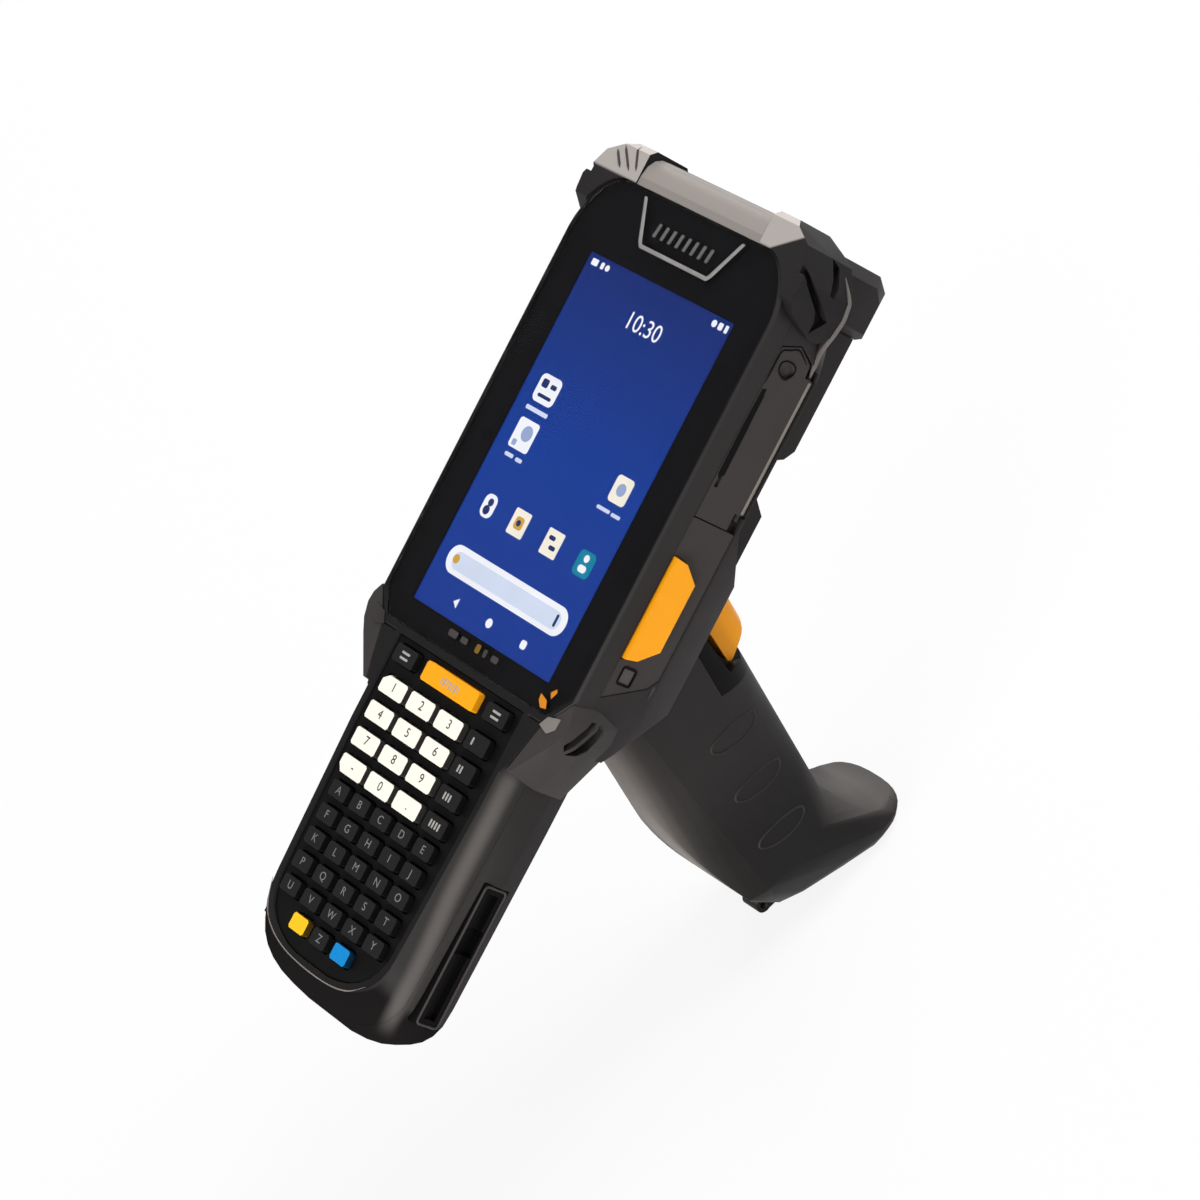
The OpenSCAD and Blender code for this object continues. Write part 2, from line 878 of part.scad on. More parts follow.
module port_cover() {
  color("dimgray")
    place()
      difference() {
        union() {
          along_x(flap_x1 - flap_t + 0.3, flap_x1)
            polygon(flap_pts());
          // knuckle
          translate([hinge_x, flap_y0 + 4 + run, hinge_z])
            rotate([-90, 0, 0])
              cylinder(r = hinge_r + 0.5, h = cover_len - 10 - 2 * run);
          // pins
          translate([hinge_x, flap_y0 + 2.6, hinge_z])
            rotate([-90, 0, 0])
              cylinder(r = hinge_r, h = cover_len - 7.2);
          // sealing rib that sits in the bay
          block(
            flap_x1 - flap_t - 0.7, flap_x1 - flap_t + 0.4,
            flap_y0 + 8, flap_y1 - 10, -12.5, skin_top_z - 4
          );
        }
        // nail slot along the front edge
        block(flap_x1 - 0.7, big, flap_y0 + 8, flap_y1 - 14, -7.6, -6.4);
        // oval recess near the top
        translate([flap_x1 - 0.5, flap_y1 - 7, -10.4])
          rotate([0, 90, 0])
            cylinder(r = 2, h = 2);
      }
}

// ---------- lower body rails ----------

rail_x0 = low_wide_w - 3.6;
rail_x1 = low_wide_w - 0.8;
rail_y1 = skirt_y - 25;
rail_y0 = rail_y1 - side_rail_l;
rail_top_z = -7;
rail_low_z = rail_top_z - side_rail_h;

module rail_seat() {
  block(rail_x0, big, rail_y0 - fit, rail_y1 + fit, rail_low_z - fit, rail_top_z + fit);
}

module side_rail() {
  difference() {
    block(rail_x0, rail_x1, rail_y0, rail_y1, rail_low_z, rail_top_z);
    // channel along the rail
    block(rail_x1 - 1.2, big, rail_y0 + 2, rail_y1 - 2, rail_low_z + 2, rail_top_z - 2);
    // notch for a cradle latch
    block(rail_x1 - 2, big, rail_y1 - 18, rail_y1 - 11, rail_low_z + 1.2, rail_top_z - 1.2);
  }
}

module side_rails() {
  color("black")
    place() {
      side_rail();
      left_side()
        side_rail();
    }
}

// ---------- nose ----------

window_z = -(bar_depth + 4 + nose_depth - 4) / 2;

module window_seat() {
  nose_y1 = head_y1 + nose_reach;
  // seat of the glass
  block(
    -window_w / 2 - fit, window_w / 2 + fit, nose_y1 - window_t - 0.4, big,
    window_z - window_h / 2 - fit, window_z + window_h / 2 + fit
  );
  // light path
  block(
    -window_w / 2 + 2, window_w / 2 - 2, nose_y1 - window_t - wall - 1, big,
    window_z - window_h / 2 + 2, window_z + window_h / 2 - 2
  );
}

module scan_window() {
  nose_y1 = head_y1 + nose_reach;
  color("darkred")
    place()
      block(
        -window_w / 2, window_w / 2, nose_y1 - window_t - 0.4, nose_y1 - 0.4,
        window_z - window_h / 2, window_z + window_h / 2
      );
}

module scan_engine() {
  engine_l = nose_l - window_t - 2 * wall - 0.6;
  engine_y1 = head_y1 + nose_reach - window_t - wall - 0.3;
  engine_z0 = -nose_depth + wall + 1.5;
  color("silver")
    place()
      difference() {
        union() {
          block(-15, 15, engine_y1 - engine_l, engine_y1, engine_z0, window_z + 6);
          // foot that stands on the floor of the nose
          block(-18, 18, engine_y1 - engine_l, engine_y1 - 2, engine_z0, engine_z0 + 2);
        }
        // aiming and imaging lenses
        translate([-7, engine_y1 - 3, window_z])
          rotate([-90, 0, 0])
            cylinder(r = 3.6, h = 10);
        translate([7, engine_y1 - 2, window_z])
          rotate([-90, 0, 0])
            cylinder(r = 2.4, h = 10);
      }
}

// ---------- raised cover on the back ----------

module rear_cover() {
  // it ends just below the nose
  y1 = head_y1 + nose_reach - nose_l - 0.04;
  y0 = y1 - cover_l;
  color("dimgray")
    place()
      difference() {
        hull() {
          between(-back_depth + 2, -back_depth + 3)
            polygon([
              [-cover_half_w, y0], [cover_half_w, y0],
              [cover_half_w, y1], [-cover_half_w, y1]
            ]);
          between(-back_depth - cover_h, -back_depth - cover_h + eps)
            polygon([
              [-cover_half_w + 2, y0 + 10.5], [cover_half_w - 2, y0 + 10.5],
              [cover_half_w - 2, y1 - 1], [-cover_half_w + 2, y1 - 1]
            ]);
          between(-back_depth - cover_h + 2, -back_depth - cover_h + 2 + eps)
            polygon([
              [-cover_half_w, y0 + 5.6], [cover_half_w, y0 + 5.6],
              [cover_half_w, y1], [-cover_half_w, y1]
            ]);
          between(-back_depth - cover_h + 4, -back_depth - cover_h + 4 + eps)
            polygon([
              [-cover_half_w, y0 + 2.8], [cover_half_w, y0 + 2.8],
              [cover_half_w, y1], [-cover_half_w, y1]
            ]);
        }
        // the back that it sits on
        back_tub(0);
      }
}

module rear_screws() {
  color("silver")
    place()
      for (i = [0:len(screw_spots) - 1])
        translate([screw_spots[i][0], screw_spots[i][1], screw_back(i)])
          difference() {
            union() {
              translate([0, 0, 0.6])
                cylinder(r = screw_head_r, h = screw_head_t);
              translate([0, 0, 1])
                cylinder(r = screw_r, h = screw_l);
            }
            // cross recess
            translate([-1.4, -0.3, 0.5])
              cube([2.8, 0.6, 0.9]);
            translate([-0.3, -1.4, 0.5])
              cube([0.6, 2.8, 0.9]);
          }
}

// ---------- display ----------

module display_glass() {
  color("black")
    place()
      between(glass_z0, glass_z1)
        polygon(glass_pts(0));
}

module display_panel() {
  color("royalblue")
    place()
      block(-panel_hw, panel_hw, -panel_hl, panel_hl, -panel_t, 0);
}

module display_frame() {
  color("silver")
    place()
      difference() {
        block(
          -panel_hw - 1.6, panel_hw + 1.6, -panel_hl - 1.6, panel_hl + 1.6, tray_z, face_z
        );
        block(
          -panel_hw - fit, panel_hw + fit, -panel_hl - fit, panel_hl + fit, -panel_t, big
        );
      }
}

module main_board() {
  color("green")
    place() {
      block(-main_hw, main_hw, main_y0, main_y1, board_z0, board_z1);
      // spacers to the display frame
      for (x = [-main_hw + 9, main_hw - 9])
        for (y = [main_y0 + 10, main_y1 - 10])
          block(x - 3, x + 3, y - 3, y + 3, board_z1 - eps, tray_z);
      // shield can
      block(
        -main_hw + 11, main_hw - 11, main_y0 + 30, main_y1 - 20,
        board_z0 - 2.6, board_z0 + eps
      );
      // connectors behind the port cover
      block(
        main_hw - 5, wall_in_x - 0.3, flap_y0 + 8.5, flap_y0 + 17.5,
        board_z0 - 3.2, board_z0 + eps
      );
      block(
        main_hw - 9, wall_in_x - 0.3, flap_y0 + 22.5, flap_y0 + 34.5,
        board_z0 - 2, board_z0 + eps
      );
      // switch boards of the side keys
      for (s = [-1, 1])
        block(
          s > 0 ? main_hw - 1 : -side_board_x, s > 0 ? side_board_x : -main_hw + 1,
          key_y - 19, key_y + 10, key_z - 4, board_z0 + eps
        );
    }
}

// ---------- keypad ----------

// outline of one key
function key_pts(cx, cy, w, l) = [
  [cx - w / 2 + 0.5, cy - l / 2], [cx + w / 2 - 0.5, cy - l / 2],
  [cx + w / 2, cy - l / 2 + 0.5], [cx + w / 2, cy + l / 2 - 0.5],
  [cx + w / 2 - 0.5, cy + l / 2], [cx - w / 2 + 0.5, cy + l / 2],
  [cx - w / 2, cy + l / 2 - 0.5], [cx - w / 2, cy - l / 2 + 0.5]
];

module key_way(cx, cy, w, l) {
  between(-big / 2, big / 2)
    polygon(key_pts(cx, cy, w + 2 * key_gap, l + 2 * key_gap));
}

module key(cx, cy, w, l) {
  top = pad_z0 - flange_gap;
  difference() {
    between(top - eps, key_top)
      polygon(key_pts(cx, cy, w, l));
    // sloped front edge of the cap
    translate([cx, cy - l / 2, key_top])
      rotate([35, 0, 0])
        block(-w, w, -3, 3, 0.25, 3);
  }
  between(top - flange_t, top)
    polygon(key_pts(cx, cy, w + 2 * flange_out, l + 2 * flange_out));
  translate([cx, cy, pad_board_z1 + key_travel + 0.1])
    cylinder(r = 1.3, h = top - flange_t - pad_board_z1 - key_travel - 0.1 + eps);
}

// left-hand corner keys follow the rounded rim
module number_key(i) {
  row = floor((i - 1) / 3);
  col = (i - 1) % 3;
  cx = num_x1 + col * num_pitch_x;
  cy = num_y1 - row * num_step_y;
  color("ivory")
    place()
      difference() {
        key(cx, cy, num_w, num_l);
        if (i == 1)
          translate([cx - num_w / 2, cy + num_l / 2, pad_z1 - 0.2])
            rotate([0, 0, 35])
              block(-6, 6, -1.2, 6, 0, 10);
        if (i == 10)
          translate([cx - num_w / 2, cy - num_l / 2, pad_z1 - 0.2])
            rotate([0, 0, -48])
              block(-6, 6, -6, 1.2, 0, 10);
      }
}

module function_key(i) {
  color("black")
    place()
      key(num_x1 + 3 * num_pitch_x, num_y1 - (i - 1) * num_step_y, num_w - 1.6, num_l);
}

module letter_row(i) {
  color("black")
    place()
      for (c = [-2:2])
        key(c * let_pitch_x, let_y1 - (i - 1) * let_step_y, let_w, let_l);
}

module keypad_panel() {
  color("black")
    place()
      difference() {
        between(pad_z0, pad_z1)
          polygon(low_pts(pad_hw - fit, pad_y0 + fit, pad_y1 - fit));
        key_way(0, row0_y, wide_w, 5);
        key_way(num_x1 - 1.4, row0_y, row0_w, 4.4);
        key_way(-num_x1 + 1.4, row0_y, row0_w, 4.4);
        for (r = [0:3])
          for (c = [0:2])
            key_way(num_x1 + c * num_pitch_x, num_y1 - r * num_step_y, num_w, num_l);
        for (r = [0:3])
          key_way(num_x1 + 3 * num_pitch_x, num_y1 - r * num_step_y, num_w - 1.6, num_l);
        for (r = [0:4])
          for (c = [-2:2])
            key_way(c * let_pitch_x, let_y1 - r * let_step_y, let_w, let_l);
        for (c = [-1:1])
          key_way(c * let_pitch_x, pill_y, pill_w, let_l);
      }
}

module keypad_board() {
  color("green")
    place()
      between(pad_board_z0, pad_board_z1)
        polygon(low_pts(pad_hw - ledge_w - 0.4, pad_y0 + ledge_w + 0.4, row0_y + 2.4));
}

module scan_key() {
  color("orange")
    place()
      key(0, row0_y, wide_w, 5);
}

module left_menu_key() {
  color("black")
    place()
      key(num_x1 - 1.4, row0_y, row0_w, 4.4);
}

module right_menu_key() {
  color("black")
    place()
      key(-num_x1 + 1.4, row0_y, row0_w, 4.4);
}

module yellow_key() {
  color("gold")
    place()
      key(-let_pitch_x, pill_y, pill_w, let_l);
}

module middle_key() {
  color("black")
    place()
      key(0, pill_y, pill_w, let_l);
}

module blue_key() {
  color("dodgerblue")
    place()
      key(let_pitch_x, pill_y, pill_w, let_l);
}

// ---------- bar, bumpers and ears ----------

module top_bar() {
  color("gray")
    place()
      along_x(-bar_half_w, bar_half_w)
        polygon([
          [head_y1, -bar_depth],
          [head_y1, rim_z],
          [head_y1 + 2, rim_z],
          [head_y1 + bar_reach * 0.6, rim_z - 0.6],
          [head_y1 + bar_reach * 0.85, rim_z - 2],
          [head_y1 + bar_reach * 0.97, rim_z - 4],
          [head_y1 + bar_reach, rim_z - 6.5],
          [head_y1 + bar_reach, -bar_depth]
        ]);
}

// plan of a bumper, before the head is taken out of it
function bumper_pts() = [
  [bar_half_w, head_y1 - 6],
  [bar_half_w, head_y1 + bumper_top],
  [bar_half_w + 7, head_y1 + bumper_top],
  [bar_half_w + 15, head_y1 + bumper_top - 4.5],
  [head_hw + bumper_side, head_y1 - 3.2],
  [head_hw + bumper_side - 0.4, head_y1 - 7],
  [head_hw + 0.8, head_y1 - 14],
  [head_hw - 1, head_y1 - 16],
  [head_hw - corner_w - 4, head_y1 - 6]
];

// side view of a bumper, with its pointed lower end
function bumper_side_pts() = [
  [head_y1 + bumper_top, rim_z - 1.5],
  [head_y1 + bumper_top - 1.5, rim_z + 0.4],
  [head_y1 - 8, rim_z + 0.4],
  [head_y1 - 11.2, -1.5],
  [head_y1 - 14.2, -9.5],
  [head_y1 - 15.6, -13.5],
  [head_y1 - 11, -bumper_depth],
  [head_y1 - 6, -bumper_depth],
  [head_y1 + bumper_top - 3, -bumper_depth + 3],
  [head_y1 + bumper_top, -bumper_depth + 6]
];

// side view of the long groove in a bumper, which widens into a wedge
function long_groove_pts() = [
  [head_y1 + 0.4, rim_z + 0.8],
  [head_y1 - 1.6, rim_z + 0.8],
  [head_y1 - 3.6, 0.1],
  [head_y1 - 6, -3.5],
  [head_y1 - 8.3, -7.1],
  [head_y1 - 10.6, -8.8],
  [head_y1 - 13.4, -9.6],
  [head_y1 - 9.1, -12.2],
  [head_y1 - 7.2, -9.2],
  [head_y1 - 5.2, -6.1],
  [head_y1 - 3.1, -2.5],
  [head_y1 - 0.9, 0.4]
];

// side view of the short curved groove behind it
function short_groove_pts() = [
  [head_y1 + 4.6, -7.4],
  [head_y1 + 0.2, -8.5],
  [head_y1 - 3.4, -8.1],
  [head_y1 - 3.8, -9.7],
  [head_y1 - 0.9, -10.7],
  [head_y1 + 3.2, -10.1]
];

module bumper() {
  difference() {
    intersection() {
      between(-bumper_depth - 1, rim_z + 1)
        polygon(bumper_pts());
      along_x(0, big)
        polygon(bumper_side_pts());
    }
    // the head that it wraps around
    between(-big / 2, big / 2)
      polygon(head_pts(0));
    // the nose behind it
    nose(0);
    // two grooves in its side
    along_x(head_hw + bumper_side * 0.22, big)
      polygon(long_groove_pts());
    along_x(head_hw - 1.2, big)
      polygon(short_groove_pts());
  }
}

module right_bumper() {
  color("gray")
    place()
      bumper();
}

module left_bumper() {
  color("gray")
    place()
      left_side()
        bumper();
}

module ear() {
  y1 = head_y0 + glass_cut_l + 1.4;
  difference() {
    hull() {
      between(rim_z - eps, rim_z)
        polygon([
          [low_rim_w + 1.5, skirt_y + 1], [head_hw - glass_cut_w - 0.6, head_y0],
          [head_hw, y1], [head_hw + 1.5, y1 - 2.6], [head_hw + 1.8, y1 - 5.4],
          [head_hw + 0.5, y1 - 9.2], [head_hw - 1.8, y1 - 12.4], [head_hw - 5, y1 - 15],
          [low_rim_w + 2.6, skirt_y + 1]
        ]);
      between(-7, -5)
        polygon([
          [low_rim_w, skirt_y], [head_hw - glass_cut_w, head_y0], [head_hw, y1 + 1],
          [head_hw + ear_side, y1 - 3], [head_hw + ear_side - 0.8, y1 - 10],
          [low_wide_w + 1.2, skirt_y]
        ]);
      between(-ear_depth, -ear_depth + eps)
        polygon([
          [low_rim_w, skirt_y], [head_hw - 9, y1], [head_hw, y1 - 1],
          [head_hw + 0.4, y1 - 4], [head_hw - 0.6, y1 - 10], [low_wide_w, skirt_y]
        ]);
    }
    // what it wraps around
    between(-big, big)
      polygon(head_pts(0));
    front_shoulder();
    low_core(0);
    pod_tub(0);
    // strap slot, in line with the ear's sloping face
    strap_slot();
  }
}

module front_shoulder() {
  between(part_z, rim_z)
    polygon(both_sides([[low_rim_w, skirt_y], [head_hw - glass_cut_w - 0.6, head_y0]]));
}

// two slots side by side, with a bar between them
module strap_slot() {
  along_x(head_hw + ear_side - slot_depth, big)
    translate([head_y0 + 1.6, -4.6])
      rotate(-24) {
        polygon([
          [-5, 0.45], [4.9, 0.45], [4.3, 0.45 + slot_w * 0.36],
          [3.2, 0.45 + slot_w * 0.48], [-4.2, 0.45 + slot_w * 0.48]
        ]);
        polygon([
          [-5.4, -0.45], [-3.6, -slot_w * 0.6], [-0.6, -slot_w * 0.9], [3, -slot_w * 0.92],
          [5.3, -slot_w * 0.7], [5.8, -slot_w * 0.36], [5.1, -0.45]
        ]);
      }
}

module right_ear() {
  color("gray")
    place()
      ear();
}

module left_ear() {
  color("gray")
    place()
      left_side()
        ear();
}

// ---------- grip ----------

// cross section of the grip, made smaller by d
function grip_pts(d) = concat(
  quarter(0, -grip_back, grip_half_w - d, grip_half_d - d, 0, 88, 8, end_power),
  quarter(0, -grip_back, grip_half_w - d, grip_half_d - d, 92, 180, 8, end_power),
  quarter(0, -grip_back, grip_half_w - d, grip_half_d - d, 190, 268, 7, end_power),
  quarter(0, -grip_back, grip_half_w - d, grip_half_d - d, 272, 350, 7, end_power)
);

// height at which the grip's back starts to taper in
straight_z = 63;

// side view of the grip and its toe
function grip_side_pts() = [
  [toe_reach + 1, 0],
  [toe_reach, toe_t * 0.9],
  [toe_reach - 2.5, toe_t + 0.6],
  for (a = [0:10:90])
    [grip_front + 9.5 * (1 - sin(a)), toe_t + 2.4 + 18 * (1 - cos(a))],
  [grip_front, screen_height],
  [grip_rear - 2, screen_height],
  for (t = [0:0.1:1.001])
    [grip_rear + grip_taper * pow(t, 1.9), straight_z + (heel_r + base_t - straight_z) * t],
  [heel_y + 1.8, 6],
  [heel_y + 1.8, 0]
];

// outline of the foot, made smaller by d at the toe and by e at the heel
function foot_pts(d, e) = both_sides(concat(
  [
    [4 - e * 0.2, heel_y + 2.2 + e],
    [9 - e * 0.6, heel_y + 5 + e],
    [12.4 - e, heel_y + 11 + e],
    [toe_half_w - 0.6 - (d + e) / 2, -2]
  ],
  quarter(0, toe_reach - 12 - d, toe_half_w - d, 12, 0, 86, 8, end_power)
));

// rounded bottom of the grip and toe, up to the straight column
module grip_bottom() {
  hull() {
    between(0, eps)
      polygon(foot_pts(2.8, 6.5));
    between(base_t, base_t + eps)
      polygon(foot_pts(1, 4.1));
    between(toe_t - 1.5, toe_t - 1.5 + eps)
      polygon(foot_pts(0, 0.8));
    between(heel_r + base_t + 8, heel_r + base_t + 9)
      intersection() {
        polygon(grip_pts(0));
        translate([-big / 2, grip_rear + grip_taper * 0.7])
          square([big, big]);
      }
    between(toe_t + 1, toe_t + 1 + eps)
      polygon(foot_pts(1, -0.6));
  }
}

// grip and toe as one solid, below the head
module grip_solid() {
  difference() {
    intersection() {
      union() {
        between(heel_r + base_t + 8.5, screen_height)
          polygon(grip_pts(0));
        grip_bottom();
      }
      along_x(-big / 2, big / 2)
        polygon(grip_side_pts());
    }
    // the head above it
    place()
      head_space();
  }
}

// the part of the grip above its base plate
module above_base() {
  block(-big, big, -big, big, base_t, big);
}

// everything above the underside of the head
module head_space() {
  block(-big, big, -big, -8, -pod_depth, big);
  block(-big, big, -10, big, block_z, big);
  block(-big, big, -big, -11.5 + fit, -pod_depth, big);
  block(-big, big, -11.5, big, block_z, big);
}

// hollow of the grip
module grip_hollow() {
  between(battery_z, screen_height - 40)
    intersection() {
      polygon(grip_pts(grip_wall));
      translate([-big / 2, heel_y + grip_wall])
        square([big, big]);
    }
}

// what lies behind the seam along the grip's back
module behind_seam() {
  along_x(-big / 2, big / 2)
    polygon([
      [grip_rear + 6, big],
      [grip_rear + 6.5, 87],
      [grip_rear + 9.5, 53],
      [grip_rear + 13.5, battery_z],
      [grip_rear + 13.5, battery_z - 4],
      [-big / 2, battery_z - 4],
      [-big / 2, big]
    ]);
}

// what the trigger collar takes from the grip
function collar_edge(y) = collar_low + collar_slope * (1 - y);

module collar_space() {
  along_x(-big / 2, big / 2)
    polygon([
      [collar_back, collar_edge(collar_back)],
      [trigger_front + 4, collar_edge(trigger_front + 4)],
      [trigger_front + 4, big],
      [collar_back, big]
    ]);
}

// opening that shows the trigger from the side
module collar_opening() {
  along_x(-big / 2, big / 2)
    polygon([
      [trigger_back - 3.7, trigger_low + trigger_h * 0.72],
      [trigger_back - 2.3, collar_edge(trigger_back - 2.3) + collar_band],
      [trigger_front + 4, collar_edge(trigger_front + 4) + collar_band],
      [trigger_front + 4, trigger_low + trigger_h * 0.72]
    ]);
}

// slot that the trigger swings in
module trigger_slot() {
  block(
    -trigger_w / 2 - run, trigger_w / 2 + run, slot_back_y, big / 2,
    trigger_low - 1.6, big / 2
  );
}

module grip_shell() {
  color("dimgray")
    difference() {
      intersection() {
        grip_solid();
        above_base();
      }
      grip_hollow();
      behind_seam();
      collar_space();
    }
}

module grip_backstrap() {
  color("gray")
    difference() {
      intersection() {
        grip_solid();
        above_base();
        behind_seam();
      }
      grip_hollow();
    }
}

// lug for a lanyard, at the heel
lug_y = heel_y + 3.8;
lug_z = 2.7;
lug_r = 2.4;
lug_hole_r = 1.2;
lug_half_w = 3;

module grip_base() {
  color("dimgray")
    difference() {
      union() {
        intersection() {
          grip_solid();
          block(-big, big, -big, big, -1, base_t);
        }
        along_x(-lug_half_w, lug_half_w)
          translate([lug_y, lug_z])
            circle(r = lug_r);
        block(-lug_half_w, lug_half_w, lug_y, lug_y + 6, lug_z - lug_r + 0.1, base_t);
      }
      translate([-big / 2, lug_y, lug_z])
        rotate([0, 90, 0])
          cylinder(r = lug_hole_r, h = big);
      // the shell above the lug
      intersection() {
        grip_solid();
        above_base();
      }
    }
}

module grip_battery() {
  color("steelblue")
    between(battery_z, battery_z + battery_l)
      intersection() {
        polygon(grip_pts(grip_wall + 0.6));
        translate([-big / 2, heel_y + grip_wall + 0.4])
          square([big, big]);
      }
}

// ---------- trigger ----------

module trigger_collar() {
  color("black")
    difference() {
      intersection() {
        grip_solid();
        collar_space();
      }
      trigger_slot();
      collar_opening();
      pin_form();
    }
}

module pin_form() {
  translate([-trigger_w / 2 - 2, pin_y, pin_z])
    rotate([0, 90, 0])
      cylinder(r = pin_r, h = trigger_w + 4);
}

module trigger_pin() {
  color("silver")
    pin_form();
}

function trigger_pts() = [
  [trigger_front - 3.6, pin_z - 4],
  [trigger_front - 3.2, trigger_low + trigger_h * 0.67],
  [trigger_front - 2, trigger_low + trigger_h * 0.6],
  [trigger_front - 0.8, trigger_low + trigger_h * 0.5],
  [trigger_front - 0.1, trigger_low + trigger_h * 0.41],
  [trigger_front, trigger_low + trigger_h * 0.34],
  [trigger_front - 0.8, trigger_low + trigger_h * 0.26],
  [trigger_front - 2.9, trigger_low + trigger_h * 0.18],
  [trigger_front - 5.8, trigger_low + trigger_h * 0.1],
  [trigger_front - 8.6, trigger_low + trigger_h * 0.02],
  [trigger_front - 9.6, trigger_low],
  [trigger_back, trigger_low + trigger_h * 0.03],
  [trigger_back - 0.4, trigger_low + trigger_h * 0.48],
  [pin_y - 3, pin_z - 3],
  [pin_y - 3, pin_z + 1],
  [pin_y - 1, pin_z + 3],
  [pin_y + 1.5, pin_z + 3]
];

module trigger() {
  color("orange")
    difference() {
      intersection() {
        along_x(-trigger_w / 2, trigger_w / 2)
          polygon(trigger_pts());
        // rounded front, seen from above
        between(0, big)
          polygon(both_sides(concat(
            [[trigger_w / 2 + 1, pin_y - 5], [trigger_w / 2, trigger_front - 7]],
            quarter(0, trigger_front - 6.5, trigger_w / 2, 6.5, 6, 84, 7, 0.7),
            [[1, trigger_front + eps]]
          )));
      }
      translate([-trigger_w, pin_y, pin_z])
        rotate([0, 90, 0])
          cylinder(r = pin_r + pin_gap, h = 2 * trigger_w);
    }
}

module trigger_spring() {
  color("silver")
    translate([0, slot_back_y, trigger_low + trigger_h * 0.37])
      rotate([-90, 0, 0])
        cylinder(r = spring_r, h = trigger_back - 0.6 - slot_back_y);
}

module trigger_switch() {
  color("black")
    block(
      -3, 3, slot_back_y, slot_back_y + 1.1,
      trigger_low + trigger_h * 0.06, trigger_low + trigger_h * 0.21
    );
}

// ---------- numbered keys ----------

module number_key_1() { number_key(1); }
module number_key_2() { number_key(2); }
module number_key_3() { number_key(3); }
module number_key_4() { number_key(4); }
module number_key_5() { number_key(5); }
module number_key_6() { number_key(6); }
module number_key_7() { number_key(7); }
module number_key_8() { number_key(8); }
module number_key_9() { number_key(9); }
module number_key_10() { number_key(10); }
module number_key_11() { number_key(11); }
module number_key_12() { number_key(12); }
module function_key_1() { function_key(1); }
module function_key_2() { function_key(2); }
module function_key_3() { function_key(3); }
module function_key_4() { function_key(4); }
module letter_keys_1() { letter_row(1); }
module letter_keys_2() { letter_row(2); }
module letter_keys_3() { letter_row(3); }
module letter_keys_4() { letter_row(4); }
module letter_keys_5() { letter_row(5); }

front_housing();
rear_housing();
display_glass();
display_panel();
display_frame();
main_board();
keypad_panel();
keypad_board();
top_bar();
left_bumper();
right_bumper();
left_ear();
right_ear();
left_side_panel();
right_side_panel();
side_rails();
scan_engine();
scan_window();
rear_cover();
rear_screws();
grip_shell();
grip_backstrap();
grip_base();
grip_battery();
trigger_collar();
trigger_pin();
trigger_spring();
trigger_switch();
trigger();
port_cover();
left_scan_key();
right_scan_key();
side_button();
scan_key();
left_menu_key();
right_menu_key();
number_key_1();
number_key_2();
number_key_3();
number_key_4();
number_key_5();
number_key_6();
number_key_7();
number_key_8();
number_key_9();
number_key_10();
number_key_11();
number_key_12();
function_key_1();
function_key_2();
function_key_3();
function_key_4();
letter_keys_1();
letter_keys_2();
letter_keys_3();
letter_keys_4();
letter_keys_5();
yellow_key();
middle_key();
blue_key();
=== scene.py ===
"""Looks of the barcode terminal. Lengths in the helpers are millimetres of the terminal's own
frame: origin at the middle of the screen, +X right, +Y to the scan nose, +Z out of the screen.
PLACE turns them into the row frame in metres. The grip is written in the row frame, in mm."""

import math

import bmesh
import bpy
from mathutils import Matrix, Vector


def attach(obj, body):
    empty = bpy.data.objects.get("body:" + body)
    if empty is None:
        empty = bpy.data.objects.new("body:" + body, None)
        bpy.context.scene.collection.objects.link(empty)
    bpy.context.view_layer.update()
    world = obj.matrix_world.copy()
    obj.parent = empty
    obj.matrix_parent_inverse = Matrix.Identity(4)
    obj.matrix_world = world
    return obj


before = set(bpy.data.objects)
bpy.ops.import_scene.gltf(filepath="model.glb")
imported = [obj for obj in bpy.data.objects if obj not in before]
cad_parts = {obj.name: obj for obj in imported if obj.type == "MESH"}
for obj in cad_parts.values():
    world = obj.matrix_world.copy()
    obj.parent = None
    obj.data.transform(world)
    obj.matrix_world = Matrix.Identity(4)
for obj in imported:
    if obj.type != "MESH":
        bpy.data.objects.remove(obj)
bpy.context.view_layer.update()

# from millimetres of the terminal's own frame, or of the row frame, to metres of the row frame
TILT = math.radians(26)
TURN = Matrix.Rotation(TILT, 3, "X")
ROW = Matrix.Scale(0.001, 4)
PLACE = Matrix.Translation((0, -0.0059, 0.1507)) @ Matrix.Rotation(TILT, 4, "X") @ ROW
# the same from an outline drawn as (y, z) in the terminal's own frame, with its thickness along x
SIDEWAYS = PLACE @ Matrix(((0, 0, 1, 0), (1, 0, 0, 0), (0, 1, 0, 0), (0, 0, 0, 1)))
CHASSIS = "chassis"
SIDES = (("right", 1), ("left", -1))

# sizes and places of the solids that the looks follow, in mm
SCREEN_W, SCREEN_L = 56.2, 93.6
GLASS_HW, GLASS_Y0, GLASS_Y1, GLASS_TOP = 38.5, -53.5, 65.5, 1.5
GLASS_CUT_X, GLASS_CUT_Y, GLASS_CUT_LEAN = 5.8, 6.6, 0.4      # its lower corners are cut
GLASS_ARC_X, GLASS_ARC_Y, GLASS_ARC_POWER = 11.5, 15.5, 1.14  # and its upper ones rounded
KEY_TOP = 2.3
MENU_X, MENU_Y = 19.025, -59.8
NUM_X, NUM_Y, NUM_Y1 = 11.75, 7.2, -67.8
LET_X, LET_Y, LET_Y1 = 9.0, 6.4, -95.8
PILL_Y = LET_Y1 - 5 * LET_Y
FLAP_X, FLAP_Y0, FLAP_Y1 = 39.7, 3.5, 49.5
HINGE_X, HINGE_Z, HINGE_R = 38.5, -18.6, 1.2
RAIL_X, RAIL_Y0, RAIL_Y1, RAIL_Z0, RAIL_Z1 = 32.85, -132.5, -95.5, -14.6, -7.0
